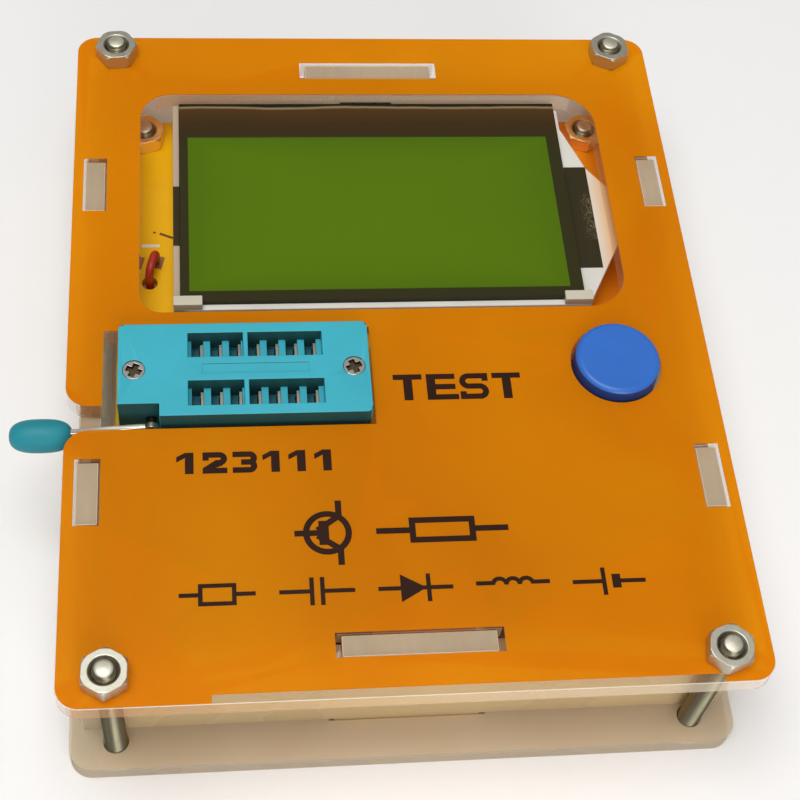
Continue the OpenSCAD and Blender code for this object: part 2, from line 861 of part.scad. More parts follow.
board_y = (board_front + board_rear) / 2;
board_d = board_rear - board_front;
red_hole = [-33.4, 14.2];
black_hole = [-36.3, 14.2];
pad_turn = -14;
pad_reach = 3.9;
pad_size = [2, 2.2, 0.05];
lead_crest = 2.8;
tight_bend = 1.45;
lead_sides = 8;
bend_step = 18;

module board_holes() {
  at_corners(board_screw_x, board_screw_front, board_screw_rear) circle(screw_hole_r);
  for (p = [red_hole, black_hole]) translate(p) circle(lead_hole_r);
  for (i = [0 : row_count - 1], s = [-1, 1])
    translate([blade_x(i), socket_y + s * row_spacing / 2]) circle(pin_r + pin_clearance);
  for (sx = [-1, 1], sy = [-1, 1])
    translate([button_x + sx * switch_pin_x, button_y + sy * switch_pin_y])
        circle(switch_pin_hole_r);
}

module circuit_board() {
  color([0.83, 0.62, 0.08])
    translate([0, 0, board_low]) linear_extrude(board_t) difference() {
      translate([0, board_y]) rounded(board_w, board_d, board_corner_r);
      board_holes();
    }
}

module lead_pads() {
  color([0.75, 0.72, 0.66])
    for (p = [red_hole, black_hole])
      translate([p[0], p[1], board_z]) rotate(pad_turn)
        translate([-pad_size[0] / 2, pad_reach - pad_size[1] / 2, 0]) cube(pad_size);
}

module board_spacers() {
  color([0.9, 0.89, 0.85])
    at_corners(board_screw_x, board_screw_front, board_screw_rear)
      translate([0, 0, sheet]) tube(spacer_r, screw_hole_r, spacer_h);
}

module board_screws() {
  color([0.72, 0.72, 0.7])
    at_corners(board_screw_x, board_screw_front, board_screw_rear)
      flush_screw(board_z + nut_h + thread_past);
}

board_nut_turn = [18, 40];

module board_nuts() {
  color([0.7, 0.62, 0.45]) {
    translate([-board_screw_x, board_screw_rear, board_z]) rotate(board_nut_turn[0]) hex_nut();
    translate([board_screw_x, board_screw_rear, board_z]) rotate(board_nut_turn[1]) hex_nut();
    translate([-board_screw_x, board_screw_front, board_z]) hex_nut();
    translate([board_screw_x, board_screw_front, board_z]) hex_nut();
  }
}

// ---------- display ----------

module lcd_frame() {
  color([0.92, 0.91, 0.88]) {
    translate([frame_left, frame_front, frame_z])
      cube([frame_right - frame_left, glass_rear - frame_front, frame_h]);
    for (x = [frame_left, frame_right - leg_w], y = [frame_front, glass_rear - leg_w])
      translate([x, y, board_z]) cube([leg_w, leg_w, frame_z - board_z]);
    translate([0, 0, tab_z]) linear_extrude(tab_t)
      polygon([
        [frame_right - eps, tab_front],
        [frame_right + tab_reach, tab_tip_front],
        [frame_right + tab_reach, tab_tip_back],
        [frame_right + tab_shoulder, tab_shoulder_y],
        [frame_right - eps, tab_back]
      ]);
    translate([frame_left, frame_front, frame_z + frame_h])
      cube([frame_rim - butt_gap, glass_rear - frame_front, glass_t]);
    translate([frame_left, frame_front, frame_z + frame_h])
      cube([frame_right - frame_left, frame_rim - butt_gap, glass_t]);
    translate([glass_right + butt_gap, frame_front, frame_z + frame_h])
      cube([frame_rim - butt_gap, leg_w, glass_t]);
  }
}

module lcd_glass() {
  color([0.3, 0.33, 0.28])
    translate([glass_left, glass_front, glass_z])
      cube([glass_w, glass_rear - glass_front, glass_t]);
}

module lcd_mask() {
  color([0.15, 0.12, 0.09]) translate([0, 0, mask_z]) difference() {
    translate([glass_left, glass_front, 0])
      cube([glass_w, glass_rear - glass_front - step_drop, mask_t]);
    translate([screen_left, screen_front, -eps])
      cube([screen_w, screen_rear - screen_front, mask_t + 2 * eps]);
  }
}

module lcd_screen() {
  color([0.32, 0.45, 0.1])
    translate([screen_left, screen_front, mask_z])
      cube([screen_w, screen_rear - screen_front, mask_t - screen_drop]);
}

module clip() {
  cube([clip_l, clip_w, clip_t]);
  translate([0, 0, -mask_t]) cube([clip_l, frame_rim - butt_gap, mask_t + eps]);
}

module lcd_clips() {
  color([0.88, 0.87, 0.83]) {
    translate([frame_left, frame_front, glass_top]) clip();
    translate([frame_right - clip_l, frame_front, glass_top]) clip();
  }
}

module lcd_side_tape() {
  color([0.12, 0.1, 0.08])
    translate([frame_left, side_tape_y - side_tape_l / 2, mask_z])
      cube([frame_rim - butt_gap, side_tape_l, tape_t]);
}

module lcd_tab_tape() {
  color([0.12, 0.1, 0.08])
    translate([glass_right + butt_gap, tape_y - tape_l / 2, tab_z + tab_t])
      cube([tape_w, tape_l, tape_t]);
}

ribbon_bend = 0.5;
ribbon_gap = 0.05;

module lcd_ribbon() {
  bend = ribbon_bend;
  drop = glass_top - ribbon_t - board_z;
  color([0.1, 0.08, 0.07]) translate([ribbon_x + ribbon_w / 2, glass_rear - step_drop + ribbon_gap, board_z])
    rotate([0, -90, 0]) linear_extrude(ribbon_w) {
      translate([0, bend]) square([drop - bend, ribbon_t]);
      translate([drop - bend, 0]) difference() {
        translate([0, ribbon_t]) circle(bend);
        translate([0, ribbon_t]) circle(bend - ribbon_t);
        translate([-2 * bend, -2 * bend]) square([2 * bend, 4 * bend]);
        translate([-bend, -2 * bend]) square([3 * bend, 2 * bend + ribbon_t]);
      }
    }
}

// ---------- test socket ----------

function slot_x(i) = field_mid + (i - (row_count - 1) / 2) * pitch + slot_shift;
function blade_x(i) = slot_x(i) + slot_w / 2 - blade_inset - blade_t / 2;

slot_deep = 3;
blade_deep = 2.8;
blade_drop = 0.1;
socket_corner_r = 0.8;
divider_shift = 0.1;
pin_clearance = 0.2;

module socket_outline() {
  difference() {
    translate([socket_x, socket_y]) rounded(socket_l, socket_w, socket_corner_r);
    translate([socket_left - 1, socket_front - 1]) square([notch_l + 1, notch_w + 1]);
  }
}

module socket_base() {
  color([0.16, 0.5, 0.56]) difference() {
    translate([0, 0, board_z]) linear_extrude(base_h) socket_outline();
    for (i = [0 : row_count - 1], s = [-1, 1])
      translate([blade_x(i), socket_y + s * row_spacing / 2, 0]) {
        translate([-blade_t / 2 - axle_gap, -blade_w / 2 - axle_gap, base_z - slot_deep])
          cube([blade_t + 2 * axle_gap, blade_w + 2 * axle_gap, slot_deep + eps]);
        translate([0, 0, board_z - eps]) cylinder(r = pin_r + axle_gap, h = base_h);
      }
    for (s = [-1, 1])
      translate([socket_x + s * socket_screw_x, socket_y, base_z - slot_deep])
        cylinder(r = socket_shank_r + axle_gap, h = slot_deep + eps);
  }
}

module slider_pocket() {
  translate([
    slider_left - slider_travel - slider_end_gap,
    socket_y - slider_w / 2 - slider_gap,
    pocket_low - eps
  ])
    cube([
      slider_right - slider_left + slider_travel + 2 * slider_end_gap,
      slider_w + 2 * slider_gap,
      pocket_top - pocket_low + eps
    ]);
}

module crank_cavity() {
  cavity_top = pivot_z + cavity_r;
  translate([cavity_left, bearing_end, pocket_low - eps])
    cube([cavity_right - cavity_left, cavity_rear - bearing_end, cavity_top - pocket_low + eps]);
  translate([cavity_right - eps, lug_front - lug_gap, pocket_low - eps])
    cube([
      slider_left - slider_travel - cavity_right,
      lug_rear - lug_front + 2 * lug_gap,
      lug_top - pocket_low + slider_gap + eps
    ]);
}

module row_recess(s) {
  y = socket_y + s * row_spacing / 2;
  difference() {
    translate([field_mid - recess_len / 2, y - recess_wid / 2, comb_z])
      cube([recess_len, recess_wid, recess_dep + 1]);
    translate([
      (slot_x(2) + slot_x(3)) / 2 + divider_shift - divider_t / 2,
      y - recess_wid / 2 - 1,
      comb_z - 1
    ])
      cube([divider_t, recess_wid + 2, recess_dep + 1]);
  }
  for (i = [0 : row_count - 1])
    translate([slot_x(i) - slot_w / 2, y - recess_wid / 2, pocket_top - eps])
      cube([slot_w, recess_wid, comb_z - pocket_top + 2 * eps]);
}

engraving = [14.2, 1.5, 0.15];
counter_h = 1;
screw_head_t = 0.9;
screw_bite = 2.6;
screw_sink = 0.1;
screw_turn = 22;
socket_cross = [2.1, 0.8, 0.6];

module sunk_panel() {
  translate([field_mid - engraving[0] / 2, socket_y - engraving[1] / 2, socket_top - engraving[2]])
    cube([engraving[0], engraving[1], engraving[2] + 1]);
}

module socket_cover() {
  color([0.2, 0.62, 0.68]) difference() {
    translate([0, 0, base_z]) linear_extrude(socket_top - base_z) socket_outline();
    slider_pocket();
    crank_cavity();
    row_recess(-1);
    row_recess(1);
    sunk_panel();
    for (s = [-1, 1])
      translate([socket_x + s * socket_screw_x, socket_y, 0]) {
        translate([0, 0, base_z - eps])
          cylinder(r = socket_shank_r + axle_gap, h = socket_top - base_z + 2 * eps);
        translate([0, 0, socket_top - counter_h])
          cylinder(r = socket_head_r + axle_gap, h = counter_h + eps);
      }
    translate([pivot_x, notch_rear - eps, pivot_z]) rotate([-90, 0, 0])
      cylinder(r = axle_r + axle_gap, h = bearing_l + 2 * eps);
  }
}

module socket_slider() {
  color([0.12, 0.42, 0.47]) difference() {
    union() {
      translate([slider_left, socket_y - slider_w / 2, slider_z])
        cube([slider_right - slider_left, slider_w, slider_t]);
      translate([lug_left, lug_front, lug_low])
        cube([slider_left - lug_left + eps, lug_rear - lug_front, lug_top - lug_low]);
    }
    for (i = [0 : row_count - 1], s = [-1, 1])
      translate([
        blade_x(i) - blade_t / 2 - lug_gap,
        socket_y + s * row_spacing / 2 - blade_w / 2 - slider_end_gap,
        slider_z - eps
      ])
        cube([window_w, blade_w + 2 * slider_end_gap, slider_t + 2 * eps]);
    translate([fork_x - fork_w / 2, lug_front - eps, lug_low + fork_floor])
      cube([fork_w, lug_rear - lug_front + 2 * eps, lug_top]);
  }
}

module socket_contacts() {
  blade_low = base_z - blade_deep;
  color([0.85, 0.82, 0.72])
    for (i = [0 : row_count - 1], s = [-1, 1])
      translate([blade_x(i), socket_y + s * row_spacing / 2, 0]) {
        translate([-blade_t / 2, -blade_w / 2, blade_low])
          cube([blade_t, blade_w, comb_z - blade_drop - blade_low]);
        translate([0, 0, board_low - pin_below])
          cylinder(r = pin_r, h = blade_low - board_low + pin_below + blade_t);
      }
}

module socket_screws() {
  shank = socket_top - base_z + screw_bite;
  color([0.85, 0.85, 0.82])
    for (s = [-1, 1])
      translate([socket_x + s * socket_screw_x, socket_y, socket_top - screw_sink])
        rotate(s * screw_turn)
          difference() {
            union() {
              translate([0, 0, -screw_head_t]) cylinder(r = socket_head_r, h = screw_head_t);
              translate([0, 0, -shank]) cylinder(r = socket_shank_r, h = shank);
            }
            rotate([180, 0, 0]) cross_recess(socket_cross[0], socket_cross[1], socket_cross[2]);
          }
}

// ---------- socket lever ----------

lever_heel = 0.8;
lever_neck = 1.6;
lever_entry = 0.4;
rivet_r = 0.4;

module lever_arm() {
  inner_end = pivot_x - lever_neck;
  outer_start = knob_start + lever_entry;
  outer_end = knob_start - knob_l / 2;
  color([0.86, 0.86, 0.84]) difference() {
    union() {
      translate([0, 0, pivot_z - lever_h / 2]) linear_extrude(lever_h)
        polygon([
          [pivot_x + lever_heel, lever_y + lever_t / 2],
          [inner_end, lever_y + lever_t / 2],
          [outer_start, knob_y + lever_t / 2],
          [outer_end, knob_y + lever_t / 2],
          [outer_end, knob_y - lever_t / 2],
          [outer_start, knob_y - lever_t / 2],
          [inner_end, lever_y - lever_t / 2],
          [pivot_x + lever_heel, lever_y - lever_t / 2]
        ]);
      translate([pivot_x, lever_y - lever_t / 2, pivot_z]) rotate([-90, 0, 0])
        cylinder(r = hub_r, h = lever_t);
    }
    translate([pivot_x, lever_y - lever_t, pivot_z]) rotate([-90, 0, 0])
      cylinder(r = rivet_r, h = 2 * lever_t);
  }
}

module lever_crank() {
  start = lever_y - lever_t / 2;
  color([0.7, 0.7, 0.68]) {
    translate([pivot_x, start, pivot_z]) rotate([-90, 0, 0])
      cylinder(r = rivet_r, h = lever_t + eps);
    translate([pivot_x, start + lever_t, pivot_z]) rotate([-90, 0, 0])
      cylinder(r = axle_r, h = crank_y - start - lever_t + eps);
    translate([pivot_x, crank_y, pivot_z]) rotate([-90, 0, 0])
      cylinder(r = crank_r, h = crank_t);
    translate([pivot_x + crank_dx, crank_end - eps, pivot_z + crank_dz]) rotate([-90, 0, 0])
      cylinder(r = crank_pin_r, h = crank_pin_l + eps);
  }
}

knob_steps = 20;

// Radius of the knob at a share of its half length from its middle.
function knob_width(share) =
  knob_r * pow(max(0, 1 - pow(abs(share), knob_power)), 1 / knob_power);

module lever_knob() {
  color([0.1, 0.45, 0.52]) difference() {
    translate([knob_start, knob_y, pivot_z - knob_drop]) rotate([0, -90, 0]) rotate_extrude()
      polygon([for (i = [0 : knob_steps])
        let (share = cos(180 * i / knob_steps))
        [knob_width(share), knob_l * (1 - share) / 2]]);
    translate([knob_start - knob_l / 2, knob_y - lever_t / 2, pivot_z - lever_h / 2])
      cube([knob_l / 2 + 1, lever_t, lever_h]);
  }
}

// ---------- push button ----------

switch_pin_x = 6.45;
switch_pin_y = 2.5;
switch_pin_r = 0.4;
switch_pin_hole_r = 0.6;
switch_pin_up = 1;
pin_link = [0.5, 0.8, 0.6];
rivet_at = 4.6;
rivet_head = 0.6;
rivet_h = 0.3;
switch_corner_r = 0.4;
plunger_play = 0.2;

module switch_body() {
  color([0.08, 0.08, 0.09]) difference() {
    translate([button_x, button_y, board_z]) slab(switch_w, switch_w, switch_h, switch_corner_r);
    translate([button_x, button_y, switch_top - plunger_in - button_travel - plunger_play])
      cylinder(r = plunger_r + plunger_gap, h = plunger_in + button_travel + plunger_play + eps);
  }
}

module switch_cover() {
  color([0.78, 0.78, 0.76])
    translate([button_x, button_y, switch_top]) {
      difference() {
        slab(switch_w - 2 * plunger_play, switch_w - 2 * plunger_play, cover_t, switch_corner_r);
        translate([0, 0, -eps]) cylinder(r = plunger_r + plunger_gap, h = cover_t + 2 * eps);
      }
      for (sx = [-1, 1], sy = [-1, 1])
        translate([sx * rivet_at, sy * rivet_at, cover_t]) cylinder(r = rivet_head, h = rivet_h);
    }
}

module switch_plunger() {
  color([0.1, 0.1, 0.11]) translate([button_x, button_y, switch_top - plunger_in]) {
    cylinder(r = plunger_r, h = plunger_in + cover_t + plunger_h);
    translate([-stem_w / 2, -stem_w / 2, 0])
      cube([stem_w, stem_w, plunger_in + cover_t + plunger_h + stem_h]);
  }
}

module switch_pins() {
  color([0.8, 0.79, 0.74])
    for (sx = [-1, 1], sy = [-1, 1])
      translate([button_x + sx * switch_pin_x, button_y + sy * switch_pin_y, 0]) {
        translate([0, 0, board_low - pin_below])
          cylinder(r = switch_pin_r, h = board_t + pin_below + switch_pin_up);
        translate([
          sx > 0 ? switch_w / 2 - switch_pin_x + eps : switch_pin_x - switch_w / 2 - eps - pin_link[0],
          -pin_link[1] / 2,
          board_z + switch_pin_up - pin_link[2]
        ])
          cube(pin_link);
      }
}

socket_wall = 1;
grip = 0.02;

module button_cap() {
  hollow = cap_h - cap_wall;
  color([0.16, 0.36, 0.72]) translate([button_x, button_y, cap_low]) difference() {
    union() {
      difference() {
        rotate_extrude() {
          square([cap_r - cap_round, cap_h]);
          square([cap_r, cap_h - cap_round]);
          intersection() {
            translate([cap_r - cap_round, cap_h - cap_round]) circle(cap_round);
            square([cap_r, cap_h]);
          }
        }
        translate([0, 0, -eps]) cylinder(r = cap_r - cap_wall, h = hollow + eps);
      }
      translate([-stem_w / 2 - socket_wall, -stem_w / 2 - socket_wall, cap_wall])
        cube([stem_w + 2 * socket_wall, stem_w + 2 * socket_wall, hollow - cap_wall + eps]);
    }
    translate([-stem_w / 2 - grip, -stem_w / 2 - grip, -eps])
      cube([stem_w + 2 * grip, stem_w + 2 * grip, stem_top - cap_low + 2 * eps]);
  }
}

// ---------- parts on the board ----------

chip_at = [4, 22];
chip_w = 7;
chip_h = 1;
chip_lift = 0.1;
chip_lead = [1, 0.3, 0.35];
lead_row = 8;
lead_pitch = 0.8;

module microcontroller() {
  color([0.12, 0.12, 0.13]) translate([chip_at[0], chip_at[1], board_z + chip_lift]) {
    translate([-chip_w / 2, -chip_w / 2, 0]) cube([chip_w, chip_w, chip_h]);
    for (a = [0, 90, 180, 270], i = [0 : lead_row - 1])
      rotate(a)
        translate([
          chip_w / 2 - eps,
          (i - (lead_row - 1) / 2) * lead_pitch - chip_lead[1] / 2,
          -chip_lift
        ])
          cube(chip_lead);
  }
}

crystal_at = [14, 24];
crystal_size = [5, 3.2, 1];
crystal_r = 0.5;

module crystal() {
  color([0.8, 0.8, 0.78]) translate([crystal_at[0], crystal_at[1], board_z])
    slab(crystal_size[0], crystal_size[1], crystal_size[2], crystal_r);
}

regulator_at = [2.6, 0.3];
regulator_z = 1.4;
regulator_r = 2.2;
regulator_h = 4;
regulator_flat = 1.2;
regulator_leg = 0.4;
regulator_pitch = 1.27;

module regulator() {
  color([0.1, 0.1, 0.1]) translate([regulator_at[0], regulator_at[1], board_z + regulator_z])
    difference() {
      cylinder(r = regulator_r, h = regulator_h);
      translate([-regulator_r - 1, -regulator_r - 1, -eps])
        cube([2 * regulator_r + 2, regulator_flat + 1, regulator_h + 2 * eps]);
    }
}

module regulator_legs() {
  color([0.8, 0.79, 0.74])
    for (i = [-1 : 1])
      translate([
        regulator_at[0] + i * regulator_pitch - regulator_leg / 2,
        regulator_at[1] - regulator_leg / 2,
        board_z
      ])
        cube([regulator_leg, regulator_leg, regulator_z]);
}

can_first = [13.6, -0.4];
can_step = 4.8;
can_base = 4.3;
can_base_r = 0.5;
can_base_t = 0.8;
can_r = 2;
can_h = 4.4;

module board_capacitors() {
  color([0.75, 0.75, 0.73])
    for (i = [0, 1])
      translate([can_first[0] + i * can_step, can_first[1], board_z]) {
        slab(can_base, can_base, can_base_t, can_base_r);
        translate([0, 0, can_base_t - eps]) cylinder(r = can_r, h = can_h);
      }
}

// ---------- battery and leads ----------

module battery_body() {
  color([0.2, 0.2, 0.22])
    translate([battery_left, battery_y, battery_z]) rotate([90, 0, 90])
      linear_extrude(battery_l) rounded(battery_w, battery_t, battery_r);
}

module battery_terminals() {
  color([0.82, 0.81, 0.78]) translate([battery_right, battery_y, battery_z]) rotate([0, 90, 0]) {
    translate([0, -terminal_spacing / 2, 0]) cylinder(r = terminal_male_r, h = terminal_h);
    translate([0, terminal_spacing / 2, 0])
      tube(terminal_female_r, terminal_bore_r, terminal_h);
  }
}

module battery_snap() {
  color([0.08, 0.08, 0.08])
    translate([snap_x, battery_y, battery_z]) rotate([90, 0, 90])
      slab(snap_l, snap_h, snap_t, 3);
}

snap_short = 0.2;
snap_socket_gap = 0.05;
snap_stud_gap = 0.1;

module snap_terminals() {
  reach = terminal_h - snap_short;
  color([0.82, 0.81, 0.78]) translate([snap_x - reach, battery_y, battery_z]) rotate([0, 90, 0]) {
    translate([0, -terminal_spacing / 2, 0])
      tube(terminal_female_r, terminal_male_r + snap_socket_gap, reach);
    translate([0, terminal_spacing / 2, 0]) cylinder(r = terminal_bore_r - snap_stud_gap, h = reach);
  }
}

function unit(v) = v / norm(v);
function turn(u, v) = acos(u * v);
function trim(r, u, v) = r * tan(turn(u, v) / 2);

// Points round a bend of radius r at corner p, from direction u to direction v.
function bend_points(p, u, v, r) =
  let (
    n = unit(v - (u * v) * u),
    c = p - trim(r, u, v) * u + r * n,
    steps = ceil(turn(u, v) / bend_step)
  )
  [for (k = [0 : steps])
    let (angle = turn(u, v) * k / steps)
    c - r * cos(angle) * n + r * sin(angle) * u];

// Centre line through a list of [corner point, bend radius] pairs.
function centre_line(path) =
  let (last = len(path) - 1)
  concat(
    [path[0][0]],
    [for (i = [1 : last - 1])
      each bend_points(
        path[i][0],
        unit(path[i][0] - path[i - 1][0]),
        unit(path[i + 1][0] - path[i][0]),
        path[i][1]
      )],
    [path[last][0]]
  );

function heading(line, i) =
  unit(line[min(i + 1, len(line) - 1)] - line[max(i - 1, 0)]);

// Directions across the line, carried along it without twist.
function sideways(line, i) =
  let (before = i == 0 ? [0, 0, 1] : sideways(line, i - 1))
  unit(before - (before * heading(line, i)) * heading(line, i));

// Round lead swept along its centre line.
module lead(path) {
  line = centre_line(path);
  rings = len(line);
  points = [for (i = [0 : rings - 1])
    let (n = sideways(line, i), w = cross(heading(line, i), n))
    for (k = [0 : lead_sides - 1])
      let (angle = 360 * k / lead_sides)
      line[i] + lead_r * (cos(angle) * n + sin(angle) * w)];
  walls = [for (i = [0 : rings - 2], k = [0 : lead_sides - 1])
    let (a = i * lead_sides + k, b = i * lead_sides + (k + 1) % lead_sides)
    each [[b + lead_sides, b, a], [a + lead_sides, b + lead_sides, a]]];
  start_cap = [for (k = [0 : lead_sides - 1]) k];
  end_cap = [for (k = [lead_sides - 1 : -1 : 0]) (rings - 1) * lead_sides + k];
  polyhedron(points = points, faces = concat(walls, [start_cap, end_cap]));
}

// Stretch that rises through a hole in the board and bends over to its pad.
function lead_end(hole, z) =
  let (
    crest = board_z + lead_crest,
    over = [sin(-pad_turn), cos(pad_turn), 0] * pad_reach,
    foot = [hole[0], hole[1], crest] + over
  )
  [
    [[hole[0], hole[1], z], lead_bend],
    [[hole[0], hole[1], crest], tight_bend],
    [foot, tight_bend],
    [[foot[0], foot[1], board_z + pad_size[2]], 0]
  ];

red_z = 9;
black_z = 7;
terminal_lead_y = 4;
red_turn_x = 16.4;
black_turn_x = 18.4;
lead_cross_y = -16;
lead_far_x = -27;
lead_far_y = -7;
lead_rise_y = 3;
lead_wide_bend = 6;

// Run from the snap round the battery and under the board to the hole.
module battery_lead(snap_y, turn_x, hole, z) {
  lead(concat([
    [[snap_x + snap_t, snap_y, z], 0],
    [[turn_x, snap_y, z], lead_bend],
    [[turn_x, lead_cross_y, z], lead_bend],
    [[lead_far_x, lead_far_y, z], lead_wide_bend],
    [[hole[0], lead_rise_y, z], lead_wide_bend]
  ], lead_end(hole, z)));
}

module red_lead() {
  color([0.7, 0.12, 0.08])
    battery_lead(battery_y + terminal_lead_y, red_turn_x, red_hole, red_z);
}

module black_lead() {
  color([0.06, 0.06, 0.06])
    battery_lead(battery_y - terminal_lead_y, black_turn_x, black_hole, black_z);
}

// ---------- selection ----------

top_panel();
face_film();
legend_print();
bottom_panel();
left_wall();
right_wall();
front_wall();
rear_wall();
case_screws();
case_nuts();
board_spacers();
board_screws();
board_nuts();
circuit_board();
lead_pads();
lcd_frame();
lcd_glass();
lcd_mask();
lcd_screen();
lcd_clips();
lcd_side_tape();
lcd_tab_tape();
lcd_ribbon();
socket_base();
socket_cover();
socket_slider();
socket_contacts();
socket_screws();
lever_arm();
lever_crank();
lever_knob();
switch_body();
switch_cover();
switch_plunger();
switch_pins();
button_cap();
microcontroller();
crystal();
regulator();
regulator_legs();
board_capacitors();
battery_body();
battery_terminals();
battery_snap();
snap_terminals();
red_lead();
black_lead();
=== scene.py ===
"""Looks of the handheld component tester: materials, bevelled panels, threads, leads, light and camera.

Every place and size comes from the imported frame.  Lengths are metres.
"""
import json
import math

import bmesh
import bpy
from mathutils import Matrix, Vector


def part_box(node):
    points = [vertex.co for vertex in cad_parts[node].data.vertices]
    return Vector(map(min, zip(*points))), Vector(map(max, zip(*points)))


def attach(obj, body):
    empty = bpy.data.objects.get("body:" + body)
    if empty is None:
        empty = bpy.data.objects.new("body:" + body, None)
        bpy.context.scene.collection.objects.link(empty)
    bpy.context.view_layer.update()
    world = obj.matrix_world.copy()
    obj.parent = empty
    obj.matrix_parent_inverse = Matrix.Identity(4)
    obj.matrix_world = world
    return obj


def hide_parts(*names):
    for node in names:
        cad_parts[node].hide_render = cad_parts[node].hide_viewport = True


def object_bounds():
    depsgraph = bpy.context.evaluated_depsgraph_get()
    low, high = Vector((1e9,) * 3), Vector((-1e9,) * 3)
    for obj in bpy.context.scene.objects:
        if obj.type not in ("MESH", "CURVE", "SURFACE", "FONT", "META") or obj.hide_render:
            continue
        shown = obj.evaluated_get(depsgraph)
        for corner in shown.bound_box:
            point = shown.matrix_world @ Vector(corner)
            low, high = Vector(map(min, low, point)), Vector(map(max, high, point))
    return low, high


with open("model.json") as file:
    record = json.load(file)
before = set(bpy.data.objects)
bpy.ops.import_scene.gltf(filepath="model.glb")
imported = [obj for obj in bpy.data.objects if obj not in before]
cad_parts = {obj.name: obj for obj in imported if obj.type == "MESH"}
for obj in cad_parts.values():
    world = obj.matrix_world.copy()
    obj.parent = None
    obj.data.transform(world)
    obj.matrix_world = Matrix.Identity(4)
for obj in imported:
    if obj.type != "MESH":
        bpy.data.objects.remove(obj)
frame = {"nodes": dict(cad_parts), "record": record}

MM = 0.001
CAD_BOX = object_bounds()
NODES = frame["nodes"]
RECORD = frame["record"]
BODY_OF = {node: body for body, names in RECORD["behaviour"]["bodies"].items() for node in names}


# ---------- places ----------

def low(node):
    return Vector(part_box(node)[0])


def high(node):
    return Vector(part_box(node)[1])


def middle(node):
    return (low(node) + high(node)) / 2


# ---------- camera ----------

CAMERA_TURN = math.radians(12.01)
CAMERA_RISE = math.radians(56.92)
CAMERA_ROLL = math.radians(8.86)
CAMERA_DISTANCE = 215.8 * MM
CAMERA_LENS = 72.53
CAMERA_NEAR = 0.01
CAMERA_AIM = (0.23 * MM, -12.43 * MM)


def add_camera():
    data = bpy.data.cameras.new("camera")
    data.lens = CAMERA_LENS
    data.clip_start = CAMERA_NEAR
    camera = bpy.data.objects.new("camera", data)
    bpy.context.collection.objects.link(camera)
    aim = Vector((*CAMERA_AIM, high("top_panel").z))
    back = Vector((
        -math.sin(CAMERA_TURN) * math.cos(CAMERA_RISE),
        -math.cos(CAMERA_TURN) * math.cos(CAMERA_RISE),
        math.sin(CAMERA_RISE),
    ))
    camera.matrix_world = (
        Matrix.Translation(aim + back * CAMERA_DISTANCE)
        @ Matrix.Rotation(-CAMERA_TURN, 4, "Z")
        @ Matrix.Rotation(math.pi / 2 - CAMERA_RISE, 4, "X")
        @ Matrix.Rotation(CAMERA_ROLL, 4, "Z")
    )
    bpy.context.scene.camera = camera


# ---------- material building ----------

# The share of a noise's range that is spread over a ramp or a change of gloss.
NOISE_LOW = 0.3
NOISE_HIGH = 0.7

SOCKETS = {
    "roughness": "Roughness",
    "metallic": "Metallic",
    "alpha": "Alpha",
    "ior": "IOR",
    "specular": "Specular IOR Level",
    "subsurface": "Subsurface Weight",
    "subsurface_scale": "Subsurface Scale",
}


